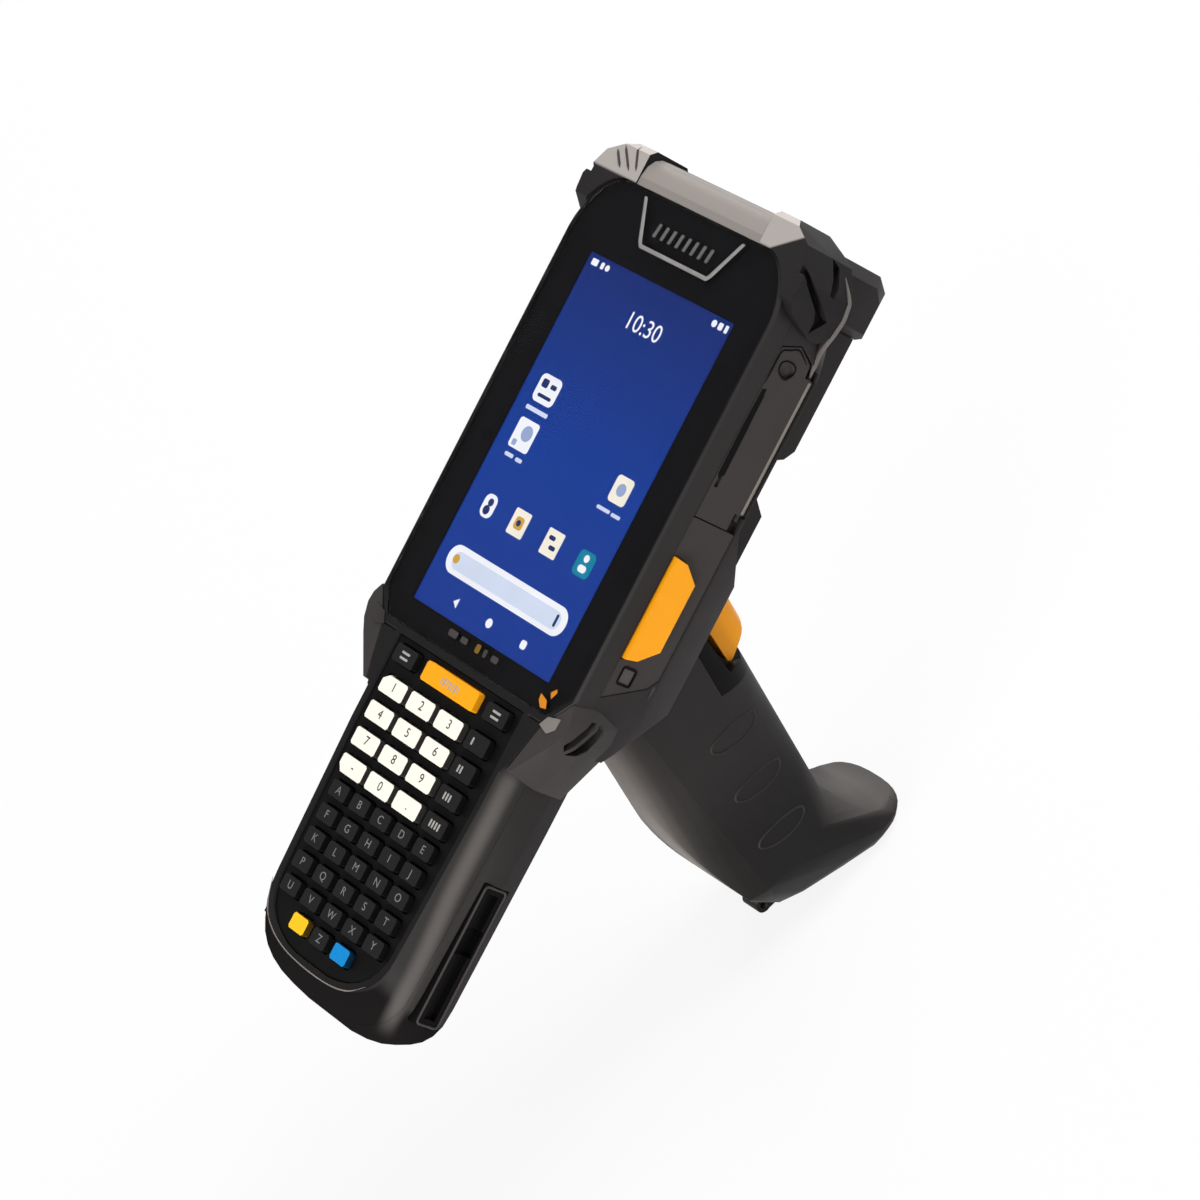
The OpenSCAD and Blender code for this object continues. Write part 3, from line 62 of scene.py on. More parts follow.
LONG_GROOVE_X, SHORT_GROOVE_X = 40.62, 38.75

# camera fitted to the photo: its place in metres, and what it calls right, down and ahead
CAMERA_PLACE = (0.8058, -0.2869, 0.8232)
CAMERA_RIGHT = Vector((0.5867, 0.7049, -0.3987))
CAMERA_DOWN = Vector((0.3549, -0.6663, -0.6559))
CAMERA_AHEAD = Vector((-0.7279, 0.2434, -0.6411))
CAMERA_LENS, CAMERA_SENSOR, CAMERA_FAR = 138, 36, 50
# each light's name, place, aim and size in metres, and its power in watts
LIGHTS = (("key_light", (0.1, 1.3, 1.5), (0, 0, 0.12), (0.9, 0.9), 30),
          ("front_light", (0.7, -1.8, 0.5), (0, 0, 0.1), (1.0, 0.8), 36),
          ("side_light", (-1.3, 1.0, 0.6), (0, 0, 0.12), (0.9, 0.9), 9))
WHITE = (1, 1, 1, 1)
AMBIENT = 0.28
FLOOR_HALF, FLOOR_GREY, FLOOR_ROUGH, FLOOR_WHITE = 6.0, 0.86, 0.9, 0.86

# where the painted highlights and shades start and end, in mm of the terminal's own frame, or in
# metres of the row frame for the lean of the bumpers' limit and for the grip
CORNER_Y = GLASS_Y1 + 0.3
CORNER_X, CORNER_LEAN, CORNER_SOFT = (0.028, 0.048), 0.0126, 0.0007
SHOULDER_LEAN = 1.085
SHOULDER_Y, SHOULDER_X, SHOULDER_WIDTH = (-122.0, -98.0), (32.6, 31.2), (0.4, 4.6)
SHOULDER_TOP, SHOULDER_END = (-68.0, -72.0), (-141.0, -131.0)
CHIN_Y, CHIN_FACING = (-112.0, -122.0), (0.1, 0.4)
LOW_GRIP_Z, TOE_Y = (0.066, 0.034), (0.020, 0.004)

# noise of the materials: cells per metre and detail
DRIFT_NOISE, DULL_NOISE = (26, 4), (140, 3)
METAL_NOISE, BRUSH_NOISE = (400, 5), (900, 4)
LIT_NOISE, SMEAR_NOISE = (60, 2), (90, 3)
NOISE_ROUGH, DRIFT_ENDS, ROUGH_DRIFT = 0.55, (0.3, 0.7), 0.07
GRAIN_DETAIL, GRAIN_HEIGHT, EDGE_SAMPLES = 2, 0.00006, 6

SMOOTH_DEGREES, ROUND_DEGREES, BEVEL_DEGREES, BEVEL_SEGMENTS = 31, 52, 35, 3
WELD_REACH = 0.000002
DRAPE_REACH = 60
BEAD_TIP, BEAD_SWELL, STEEP = 0.25, 6.0, 0.8


# ---------- shader nodes ----------

def shader(name):
    mat = bpy.data.materials.new(name)
    mat.use_nodes = True
    return mat, mat.node_tree, mat.node_tree.nodes["Principled BSDF"]


def maths(tree, what, one, two=0.0):
    """A maths node between two values or sockets."""
    node = tree.nodes.new("ShaderNodeMath")
    node.operation = what
    for socket, value in zip(node.inputs, (one, two)):
        if isinstance(value, (int, float)):
            socket.default_value = value
        else:
            tree.links.new(value, socket)
    return node.outputs[0]


def spread(tree, value, start, end, low=0.0, high=1.0, kind="LINEAR"):
    """A value that goes from low to high while another goes from start to end."""
    node = tree.nodes.new("ShaderNodeMapRange")
    node.interpolation_type = kind
    node.inputs["From Min"].default_value, node.inputs["From Max"].default_value = start, end
    node.inputs["To Min"].default_value, node.inputs["To Max"].default_value = low, high
    tree.links.new(value, node.inputs["Value"])
    return node.outputs["Result"]


def fade(tree, value, start, end, low=0.0, high=1.0):
    """The same, with soft ends."""
    return spread(tree, value, start, end, low, high, "SMOOTHSTEP")


def object_place(tree):
    return tree.nodes.new("ShaderNodeTexCoord").outputs["Object"]


def axes(tree, vector):
    """The x, y and z of a vector."""
    split = tree.nodes.new("ShaderNodeSeparateXYZ")
    tree.links.new(vector, split.inputs[0])
    return split.outputs["X"], split.outputs["Y"], split.outputs["Z"]


def reach(tree, vector, direction):
    """How far a vector goes along a direction."""
    dot = tree.nodes.new("ShaderNodeVectorMath")
    dot.operation = "DOT_PRODUCT"
    dot.inputs[1].default_value = direction
    tree.links.new(vector, dot.inputs[0])
    return dot.outputs["Value"]


def noise(tree, scale, detail):
    """A noise in object space, with its scale in cells per metre."""
    tex = tree.nodes.new("ShaderNodeTexNoise")
    tex.inputs["Scale"].default_value = scale
    tex.inputs["Detail"].default_value = detail
    tex.inputs["Roughness"].default_value = NOISE_ROUGH
    tree.links.new(object_place(tree), tex.inputs["Vector"])
    return tex.outputs["Fac"]


def mixed(tree, share, one, two):
    """One colour mixed over another by a share."""
    mix = tree.nodes.new("ShaderNodeMix")
    mix.data_type = "RGBA"
    tree.links.new(share, mix.inputs["Factor"])
    tree.links.new(one, mix.inputs[6])
    mix.inputs[7].default_value = two
    return mix.outputs[2]


def over(tree, share, under, upper):
    """One shader mixed over another by a share."""
    mix = tree.nodes.new("ShaderNodeMixShader")
    for socket, source in zip(mix.inputs, (share, under, upper)):
        tree.links.new(source, socket)
    return mix.outputs[0]


def seen_rays(tree):
    """1 on camera, glossy and transmission rays, 0 on the rays that only light things."""
    path = tree.nodes.new("ShaderNodeLightPath")
    some = maths(tree, "MAXIMUM", path.outputs["Is Camera Ray"], path.outputs["Is Glossy Ray"])
    return maths(tree, "MAXIMUM", some, path.outputs["Is Transmission Ray"])


# ---------- camera, light and floor ----------

def add_camera():
    data = bpy.data.cameras.new("camera")
    data.lens, data.sensor_width, data.clip_end = CAMERA_LENS, CAMERA_SENSOR, CAMERA_FAR
    cam = bpy.data.objects.new("camera", data)
    bpy.context.collection.objects.link(cam)
    turn = Matrix((CAMERA_RIGHT, -CAMERA_DOWN, -CAMERA_AHEAD)).transposed()
    cam.matrix_world = Matrix.Translation(CAMERA_PLACE) @ turn.to_4x4()
    bpy.context.scene.camera = cam


def add_light(name, place, aim, size, power):
    data = bpy.data.lights.new(name, "AREA")
    data.shape = "RECTANGLE"
    data.size, data.size_y = size
    data.energy = power
    lamp = bpy.data.objects.new(name, data)
    bpy.context.collection.objects.link(lamp)
    lamp.location = place
    lamp.rotation_euler = (Vector(aim) - Vector(place)).to_track_quat("-Z", "Y").to_euler()


def add_world():
    """White to the rays that see it, and dimmer to the rays that only light things."""
    world = bpy.data.worlds.new("world")
    bpy.context.scene.world = world
    world.use_nodes = True
    tree = world.node_tree
    back = tree.nodes["Background"]
    white = tree.nodes.new("ShaderNodeBackground")
    for node, strength in ((back, AMBIENT), (white, 1)):
        node.inputs["Color"].default_value = WHITE
        node.inputs["Strength"].default_value = strength
    out = over(tree, seen_rays(tree), back.outputs[0], white.outputs[0])
    tree.links.new(out, tree.nodes["World Output"].inputs["Surface"])


def add_floor():
    """Pale floor: mostly plain white to the rays that see it, the rest takes the shadow."""
    mesh = bpy.data.meshes.new("floor")
    half = FLOOR_HALF
    mesh.from_pydata([(-half, -half, 0), (half, -half, 0), (half, half, 0), (-half, half, 0)],
                     [], [(0, 1, 2, 3)])
    floor = bpy.data.objects.new("floor", mesh)
    bpy.context.collection.objects.link(floor)
    mat, tree, skin = shader("floor_white")
    skin.inputs["Base Color"].default_value = (FLOOR_GREY, FLOOR_GREY, FLOOR_GREY, 1)
    skin.inputs["Roughness"].default_value = FLOOR_ROUGH
    glow = tree.nodes.new("ShaderNodeEmission")
    glow.inputs["Color"].default_value = WHITE
    glow.inputs["Strength"].default_value = 1
    share = maths(tree, "MULTIPLY", seen_rays(tree), FLOOR_WHITE)
    out = over(tree, share, skin.outputs[0], glow.outputs[0])
    tree.links.new(out, tree.nodes["Material Output"].inputs["Surface"])
    mesh.materials.append(mat)


add_camera()
for light in LIGHTS:
    add_light(*light)
add_world()
add_floor()
bpy.context.scene.view_settings.view_transform = "Standard"


# ---------- materials ----------

# directions in the row frame, that a material's second colour can face; on the body, bumpers, top
# bar and grip that colour is a painted highlight on faces turned toward where the lamps light them
NOSEWARD = TURN @ Vector((0, 1, 0))
SCREENWARD = TURN @ Vector((0, 0, 1))
TOPWARD = (TURN @ Vector((0, 0.55, 0.83))).normalized()   # between the screen and the nose
ENDWARD = Vector((0.5, -0.8, 0.33)).normalized()          # to the lower end, from the right
BACKWARD = Vector((0.12, -0.99, 0.05)).normalized()       # to the user behind the grip
UPWARD = Vector((0.3, 0.1, 0.95)).normalized()


def srgb(r, g, b):
    """Colour written as 0 to 255, as linear values."""
    def one(v):
        v /= 255
        return v / 12.92 if v <= 0.04045 else ((v + 0.055) / 1.055) ** 2.4
    return (one(r), one(g), one(b), 1)


def shade(colour, k):
    return (colour[0] * k, colour[1] * k, colour[2] * k, 1)


def drift(tree, colour, low, high, scale, detail):
    """A colour that drifts between two shades of itself."""
    node = tree.nodes.new("ShaderNodeValToRGB")
    for stop, place, k in zip(node.color_ramp.elements, DRIFT_ENDS, (low, high)):
        stop.position = place
        stop.color = shade(colour, k)
    tree.links.new(noise(tree, scale, detail), node.inputs["Fac"])
    return node.outputs["Color"]


def uneven(tree, skin, low, high, scale, detail):
    """Lets the roughness drift between two values."""
    rough = spread(tree, noise(tree, scale, detail), 0, 1, low, high)
    tree.links.new(rough, skin.inputs["Roughness"])


def own_frame(tree):
    """The x, y and z of a point in the terminal's own frame, in mm."""
    turn = tree.nodes.new("ShaderNodeMapping")
    turn.inputs["Scale"].default_value = (1000, 1000, 1000)
    turn.inputs["Rotation"].default_value = (-TILT, 0, 0)
    turn.inputs["Location"].default_value = PLACE.inverted().translation
    tree.links.new(object_place(tree), turn.inputs["Vector"])
    return axes(tree, turn.outputs["Vector"])


def beyond_glass(tree):
    """1 beyond the upper end of the cover glass, 0 before it; this limits the bumpers' painted
    highlight. The limit leans to the nose on the right."""
    place = object_place(tree)
    lean = spread(tree, axes(tree, place)[0], *CORNER_X, 0.0, CORNER_LEAN)
    past = maths(tree, "SUBTRACT", reach(tree, place, NOSEWARD), lean)
    start = NOSEWARD.dot(PLACE @ Vector((0, CORNER_Y, 0)))
    return spread(tree, past, start, start + CORNER_SOFT)


def shoulder(tree):
    """1 along the middle of both shoulders of the lower body, 0 away from them: where their
    painted highlight goes.
    """
    x, y, z = own_frame(tree)
    out = maths(tree, "ABSOLUTE", x)
    across = maths(tree, "SUBTRACT", out, maths(tree, "MULTIPLY", z, SHOULDER_LEAN))
    middle = fade(tree, y, *SHOULDER_Y, *SHOULDER_X)
    off = maths(tree, "ABSOLUTE", maths(tree, "SUBTRACT", across, middle))
    near = fade(tree, off, *SHOULDER_WIDTH, 1.0, 0.0)
    ends = maths(tree, "MULTIPLY", fade(tree, y, *SHOULDER_TOP), fade(tree, y, *SHOULDER_END))
    return maths(tree, "MULTIPLY", near, ends)


def chin(tree):
    """1 on the rounded lower end, 0 above it: where the chin's painted shade goes."""
    y = own_frame(tree)[1]
    face = tree.nodes.new("ShaderNodeNewGeometry")
    facing = fade(tree, reach(tree, face.outputs["Normal"], -NOSEWARD), *CHIN_FACING)
    return maths(tree, "MULTIPLY", facing, fade(tree, y, *CHIN_Y))


def lower_grip(tree):
    """1 low on the grip's column, 0 higher up and on the toe: where the grip's painted shade goes.
    """
    _, y, z = axes(tree, object_place(tree))
    return maths(tree, "MULTIPLY", fade(tree, z, *LOW_GRIP_Z), fade(tree, y, *TOE_Y))


def moulded(name, colour, rough=0.5, grain=2600, bump=0.3, vary=0.12, edge=0.0003, shine=0.1,
            top=None, toward=None, band_at=(0.5, 0.92), flat=True, corner=False, shoulder_highlight=None,
            middle=None, low_shade=None):
    """Moulded plastic or rubber: fine spark-eroded grain, slow colour drift, softened edges.
    Faces turned toward a direction take the colour top: only beyond the glass with corner, and
    only near x = 0 with middle. On the body, bumpers, top bar and grip that colour is a painted
    highlight; on the front it is its own black face, and on the keys their own top colour over
    sides in painted shade.
    The grip's low part takes a painted shade. With a shoulder highlight colour, the shoulders take
    it as a painted highlight, and the chin is darkened and dulled as painted shade."""
    mat, tree, skin = shader(name)
    tint = drift(tree, colour, 1 - vary, 1 + vary, *DRIFT_NOISE)
    # painted shade on the grip's low part
    if low_shade:
        tint = mixed(tree, lower_grip(tree), tint, low_shade)
    # faces toward a direction take the second colour: a painted highlight on most materials, real
    # colour on the front and keys
    if top:
        face = tree.nodes.new("ShaderNodeNewGeometry")
        normal = face.outputs["True Normal" if flat else "Normal"]
        share = spread(tree, reach(tree, normal, toward), *band_at)
        if corner:
            share = maths(tree, "MULTIPLY", share, beyond_glass(tree))
        if middle:
            across = maths(tree, "ABSOLUTE", own_frame(tree)[0])
            share = maths(tree, "MULTIPLY", share, fade(tree, across, *middle, 1.0, 0.0))
        tint = mixed(tree, share, tint, top)
    # painted shade on the chin, then a painted highlight along the shoulders
    if shoulder_highlight:
        tint = mixed(tree, chin(tree), tint, CHIN_SHADE)
        tint = mixed(tree, shoulder(tree), tint, shoulder_highlight)
    tree.links.new(tint, skin.inputs["Base Color"])
    uneven(tree, skin, rough - ROUGH_DRIFT, rough + ROUGH_DRIFT, *DULL_NOISE)
    fine = tree.nodes.new("ShaderNodeBump")
    fine.inputs["Strength"].default_value = bump
    fine.inputs["Distance"].default_value = GRAIN_HEIGHT
    tree.links.new(noise(tree, grain, GRAIN_DETAIL), fine.inputs["Height"])
    if edge:
        soft = tree.nodes.new("ShaderNodeBevel")
        soft.samples = EDGE_SAMPLES
        soft.inputs["Radius"].default_value = edge
        tree.links.new(soft.outputs["Normal"], fine.inputs["Normal"])
    tree.links.new(fine.outputs["Normal"], skin.inputs["Normal"])
    skin.inputs["Specular IOR Level"].default_value = shine
    # the chin's reflection is also taken away, so that its painted shade stays dark
    if shoulder_highlight:
        dull_end = maths(tree, "MULTIPLY", maths(tree, "SUBTRACT", 1.0, chin(tree)), shine)
        tree.links.new(dull_end, skin.inputs["Specular IOR Level"])
    return mat


def metal(name, colour, rough=0.3):
    mat, tree, skin = shader(name)
    skin.inputs["Metallic"].default_value = 1
    tree.links.new(drift(tree, colour, 0.85, 1.1, *METAL_NOISE), skin.inputs["Base Color"])
    uneven(tree, skin, rough - 0.08, rough + 0.12, *BRUSH_NOISE)
    return mat


def clear_glass(name, colour, rough, bend=1.45):
    mat, tree, skin = shader(name)
    skin.inputs["Transmission Weight"].default_value = 1
    skin.inputs["IOR"].default_value = bend
    skin.inputs["Base Color"].default_value = colour
    uneven(tree, skin, rough * 0.6, rough * 1.6, *SMEAR_NOISE)
    return mat


def glowing(name, strength=1.0, base=(0.005, 0.005, 0.005, 1)):
    """A material, its nodes and the socket of its glow's colour, for what the display shows."""
    mat, tree, skin = shader(name)
    skin.inputs["Base Color"].default_value = base
    skin.inputs["Specular IOR Level"].default_value = 0
    skin.inputs["Emission Strength"].default_value = strength
    return mat, tree, skin.inputs["Emission Color"]


def lit(name, colour, strength=1.0):
    """Something shown by the display, in one colour."""
    mat, tree, glow = glowing(name, strength)
    tree.links.new(drift(tree, colour, 0.96, 1.04, *LIT_NOISE), glow)
    return mat


def screen_height(y):
    """Height in the row frame, in metres, of a point of the screen's middle line."""
    return (PLACE @ Vector((0, y, 0))).z


def screen_blue():
    """The display's wallpaper: blue, a little darker at the top and lighter in the middle."""
    mat, tree, glow = glowing("screen_blue", base=(0.005, 0.005, 0.01, 1))
    height = axes(tree, object_place(tree))[2]
    up = spread(tree, height, screen_height(-SCREEN_L / 2), screen_height(SCREEN_L / 2))
    band = tree.nodes.new("ShaderNodeValToRGB")
    band.color_ramp.elements[0].color = srgb(22, 56, 142)
    band.color_ramp.elements[1].color = srgb(20, 43, 111)
    band.color_ramp.elements.new(0.5).color = srgb(15, 58, 147)
    tree.links.new(up, band.inputs["Fac"])
    tree.links.new(band.outputs["Color"], glow)
    return mat


# painted shade of the chin, painted highlight of the shoulders, and the band of the key tops
CHIN_SHADE, SHOULDER_HIGHLIGHT, NEARLY_SQUARE = srgb(26, 24, 24), srgb(90, 86, 84), (0.8, 0.9)

# the body's faces turned to the lower end take a painted highlight, its shoulders a painted
# highlight and its chin a painted shade
BODY = moulded("body_plastic", srgb(44, 41, 41), vary=0.1, top=srgb(72, 69, 67), toward=ENDWARD,
               band_at=(0.6, 1.0), flat=False, shoulder_highlight=SHOULDER_HIGHLIGHT)
# the front's screenward faces are its own black face; its shoulders take a painted highlight and
# its chin a painted shade
FRONT = moulded("front_plastic", srgb(46, 43, 43), vary=0.1, top=srgb(16, 15, 15),
                toward=SCREENWARD, band_at=(0.95, 0.98), shoulder_highlight=SHOULDER_HIGHLIGHT)
SIDE = moulded("side_plastic", srgb(60, 56, 55), 0.52, vary=0.08)
# the bumpers' faces toward the top and nose, beyond the glass, take a painted highlight
RUBBER = moulded("bumper_rubber", srgb(30, 28, 28), grain=3400, bump=0.4,
                 top=srgb(190, 183, 178), toward=TOPWARD, corner=True)
# the top bar's faces toward the top and nose take a painted highlight
BAR = moulded("bar_plastic", srgb(60, 57, 56), grain=3400, bump=0.4, top=srgb(152, 145, 140),
              toward=TOPWARD)
EAR = moulded("ear_rubber", srgb(56, 53, 52), grain=3400, bump=0.4)
# the toe's upward faces take a painted highlight, the grip's low column a painted shade
GRIP = moulded("grip_plastic", srgb(42, 39, 39), vary=0.1, top=srgb(92, 88, 86), toward=UPWARD,
               band_at=(0.5, 0.98), flat=False, low_shade=srgb(27, 25, 25))
# the backstrap's backward faces near its middle take a painted highlight, its low part a painted
# shade
STRAP = moulded("backstrap_rubber", srgb(46, 43, 42), grain=3400, bump=0.4,
                top=srgb(112, 105, 100), toward=BACKWARD, band_at=(0.5, 0.9), flat=False,
                middle=(2.0, 13.0), low_shade=srgb(30, 28, 27))
BLACK = moulded("black_plastic", srgb(11, 10, 10), 0.45, vary=0.15, shine=0.05)
# pale lines on edges, ridges and the hinge are painted highlights; the dim colour also serves real
# printed marks and the bumper bars
EDGE_HIGHLIGHT = moulded("edge_highlight", srgb(134, 127, 121), 0.45, bump=0.2, edge=0)
RIDGE_HIGHLIGHT = moulded("ridge_highlight", srgb(104, 99, 96), bump=0.2, edge=0)
DIM_MARKS_AND_HIGHLIGHT = moulded("dim_marks_and_highlight", srgb(66, 62, 61), bump=0.2, edge=0)
ORANGE = moulded("orange_plastic", srgb(255, 167, 20), 0.42, vary=0.05, bump=0.15, shine=0.15)
TRIGGER = moulded("trigger_orange", srgb(255, 164, 26), 0.42, vary=0.05, bump=0.15, shine=0.15)
# the keys' sides are painted shade, darker copies of each key's colour; the top faces keep the
# key's own colour
CREAM = moulded("cream_key", srgb(58, 56, 53), 0.4, vary=0.03, bump=0.12, edge=0.0002,
                top=srgb(250, 244, 232), toward=SCREENWARD, band_at=NEARLY_SQUARE)
KEY_BLACK = moulded("black_key", srgb(20, 19, 20), 0.38, bump=0.15, edge=0.0002)
YELLOW = moulded("yellow_key", srgb(84, 64, 18), 0.4, vary=0.04, bump=0.12,
                 top=srgb(253, 196, 34), toward=SCREENWARD, band_at=NEARLY_SQUARE)
BLUE = moulded("blue_key", srgb(12, 46, 74), 0.4, vary=0.05, bump=0.12,
               top=srgb(18, 134, 205), toward=SCREENWARD, band_at=NEARLY_SQUARE)
BUTTON = moulded("button_plastic", srgb(82, 78, 76), vary=0.08)
BOARD = moulded("circuit_board", srgb(24, 84, 52), 0.4, grain=900, vary=0.2)
CELL = moulded("battery_sleeve", srgb(70, 88, 110), 0.35)
STEEL = metal("steel", srgb(190, 190, 192))
TIN = metal("frame_metal", srgb(196, 198, 202), 0.35)
GLASS = clear_glass("cover_glass", WHITE, 0.01, 1.06)
SCAN_GLASS = clear_glass("scan_glass", srgb(120, 22, 18), 0.06)
INK = moulded("black_ink", srgb(10, 9, 11), 0.3, vary=0.1, bump=0, edge=0, shine=0.03)
SCREEN = screen_blue()
UI_WHITE = lit("ui_white", srgb(246, 248, 255), 0.95)
UI_CREAM = lit("ui_cream", srgb(250, 243, 226), 0.95)
UI_PALE = lit("ui_pale", srgb(214, 224, 246), 0.95)
UI_DARK = lit("ui_dark", srgb(36, 48, 104))
UI_TEAL = lit("ui_teal", srgb(16, 128, 160))
UI_AMBER = lit("ui_amber", srgb(206, 160, 70))
UI_GREY = lit("ui_grey", srgb(150, 166, 206))
WHITE_PRINT = moulded("white_print", srgb(166, 163, 158), vary=0.05, bump=0, edge=0)
GREY_PRINT = moulded("grey_print", srgb(120, 119, 118), vary=0.08, bump=0, edge=0)
DARK_PRINT = moulded("dark_print", srgb(46, 44, 42), vary=0.05, bump=0, edge=0)
BADGE_LINE = metal("badge_line", srgb(150, 148, 146), 0.4)
BAR_PRINT = metal("bar_print", srgb(112, 110, 108), 0.45)
AMBER_PRINT = moulded("amber_print", srgb(120, 92, 34), edge=0)
ORANGE_PRINT = moulded("orange_print", srgb(206, 128, 34), edge=0)

WORN_BY = (
    (FRONT, ["front_housing"]),
    (BODY, ["rear_housing", "rear_cover"]),
    (GRIP, ["grip_shell", "grip_base"]),
    (SIDE, ["port_cover", "left_side_panel", "right_side_panel"]),
    (BAR, ["top_bar"]),
    (RUBBER, ["left_bumper", "right_bumper"]),
    (EAR, ["left_ear", "right_ear"]),
    (STRAP, ["grip_backstrap"]),
    (BLACK, ["side_rails", "keypad_panel", "trigger_collar", "trigger_switch"]),
    (BUTTON, ["side_button"]),
    (GLASS, ["display_glass"]),
    (SCREEN, ["display_panel"]),
    (TIN, ["display_frame", "scan_engine"]),
    (BOARD, ["main_board", "keypad_board"]),
    (SCAN_GLASS, ["scan_window"]),
    (STEEL, ["rear_screws", "trigger_pin", "trigger_spring"]),
    (CELL, ["grip_battery"]),
    (TRIGGER, ["trigger"]),
    (ORANGE, ["left_scan_key", "right_scan_key", "scan_key"]),
    (KEY_BLACK, ["left_menu_key", "right_menu_key", "middle_key"]),
    (KEY_BLACK, [f"function_key_{i}" for i in range(1, 5)]),
    (KEY_BLACK, [f"letter_keys_{i}" for i in range(1, 6)]),
    (CREAM, [f"number_key_{i}" for i in range(1, 13)]),
    (YELLOW, ["yellow_key"]),
    (BLUE, ["blue_key"]),
)
NODE_MATERIALS = {name: mat for mat, names in WORN_BY for name in names}


# ---------- shading of the solids ----------

def smooth_by_angle(degrees):
    """Node group that shades smooth across edges flatter than the angle."""
    group = bpy.data.node_groups.new(f"smooth_{degrees}", "GeometryNodeTree")
    group.interface.new_socket("Geometry", in_out="INPUT", socket_type="NodeSocketGeometry")
    group.interface.new_socket("Geometry", in_out="OUTPUT", socket_type="NodeSocketGeometry")
    nodes, links = group.nodes, group.links
    start = nodes.new("NodeGroupInput")
    end = nodes.new("NodeGroupOutput")
    angle = nodes.new("GeometryNodeInputMeshEdgeAngle")
    sharp = nodes.new("FunctionNodeCompare")
    sharp.data_type = "FLOAT"
    sharp.operation = "GREATER_THAN"
    sharp.inputs[1].default_value = math.radians(degrees)
    links.new(angle.outputs["Unsigned Angle"], sharp.inputs[0])
    faces = nodes.new("GeometryNodeSetShadeSmooth")
    faces.domain = "FACE"
    edges = nodes.new("GeometryNodeSetShadeSmooth")
    edges.domain = "EDGE"
    edges.inputs["Shade Smooth"].default_value = False
    links.new(start.outputs[0], faces.inputs["Geometry"])
    links.new(faces.outputs["Geometry"], edges.inputs["Geometry"])
    links.new(sharp.outputs["Result"], edges.inputs["Selection"])
    links.new(edges.outputs["Geometry"], end.inputs[0])
    return group


SMOOTH = smooth_by_angle(SMOOTH_DEGREES)
ROUND = smooth_by_angle(ROUND_DEGREES)
ROUND_NODES = ("grip_shell", "grip_backstrap", "grip_base", "trigger", "trigger_collar")

for name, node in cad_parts.items():
    node.data.materials.clear()
    node.data.materials.append(NODE_MATERIALS[name])
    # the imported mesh's corners are split, so they are welded before they are shaded
    node.modifiers.new("weld", "WELD").merge_threshold = WELD_REACH
    node.modifiers.new("smooth", "NODES").node_group = ROUND if name in ROUND_NODES else SMOOTH


# ---------- mesh helpers ----------

def add_piece(name, bm, mat, body=CHASSIS, move=PLACE, bevel=0.0):
    """Makes an object of a bmesh written in mm, and lets it ride on a body."""
    bmesh.ops.transform(bm, matrix=move, verts=bm.verts)
    bmesh.ops.recalc_face_normals(bm, faces=bm.faces)
    mesh = bpy.data.meshes.new(name)
    bm.to_mesh(mesh)
    bm.free()
    obj = bpy.data.objects.new(name, mesh)
    bpy.context.collection.objects.link(obj)
    mesh.materials.append(mat)
    if bevel:
        mod = obj.modifiers.new("bevel", "BEVEL")
        mod.width = bevel * 0.001
        mod.segments = BEVEL_SEGMENTS
        mod.limit_method = "ANGLE"
        mod.angle_limit = math.radians(BEVEL_DEGREES)
    obj.modifiers.new("smooth", "NODES").node_group = SMOOTH
    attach(obj, body)


def slab(bm, pts, z0, z1):
    """Adds a closed outline between two levels."""
    low = [bm.verts.new((x, y, z0)) for x, y in pts]
    high = [bm.verts.new((x, y, z1)) for x, y in pts]
    bm.faces.new(list(reversed(low)))
    bm.faces.new(high)
    n = len(pts)
    for i in range(n):
        j = (i + 1) % n
        bm.faces.new((low[i], low[j], high[j], high[i]))


def plate(name, outlines, levels, mat, body=CHASSIS, move=PLACE, bevel=0.0):
    """A piece made of closed outlines between the same two levels."""
    bm = bmesh.new()
    for pts in outlines:
        slab(bm, pts, *levels)
    add_piece(name, bm, mat, body, move, bevel)


def ring(bm, outer, inner, z0, z1):
    """Adds a flat ring between two outlines with the same number of points."""
    n = len(outer)
    loops = [[bm.verts.new((x, y, z)) for x, y in pts]
             for z in (z0, z1) for pts in (outer, inner)]
    lo_out, lo_in, hi_out, hi_in = loops
    for i in range(n):
        j = (i + 1) % n
        bm.faces.new((hi_out[i], hi_out[j], hi_in[j], hi_in[i]))
        bm.faces.new((lo_out[j], lo_out[i], lo_in[i], lo_in[j]))
        bm.faces.new((lo_out[i], lo_out[j], hi_out[j], hi_out[i]))
        bm.faces.new((lo_in[j], lo_in[i], hi_in[i], hi_in[j]))


def rounded(cx, cy, w, l, r, n=6):
    """Outline of a rounded rectangle."""
    pts = []
    for sx, sy, a0 in ((1, -1, -90), (1, 1, 0), (-1, 1, 90), (-1, -1, 180)):
        for i in range(n + 1):
            a = math.radians(a0 + 90 * i / n)
            pts.append((cx + sx * (w / 2 - r) + r * math.cos(a),
                        cy + sy * (l / 2 - r) + r * math.sin(a)))
    return pts


def circle(cx, cy, r, n=28):
    return [(cx + r * math.cos(2 * math.pi * i / n), cy + r * math.sin(2 * math.pi * i / n))
            for i in range(n)]


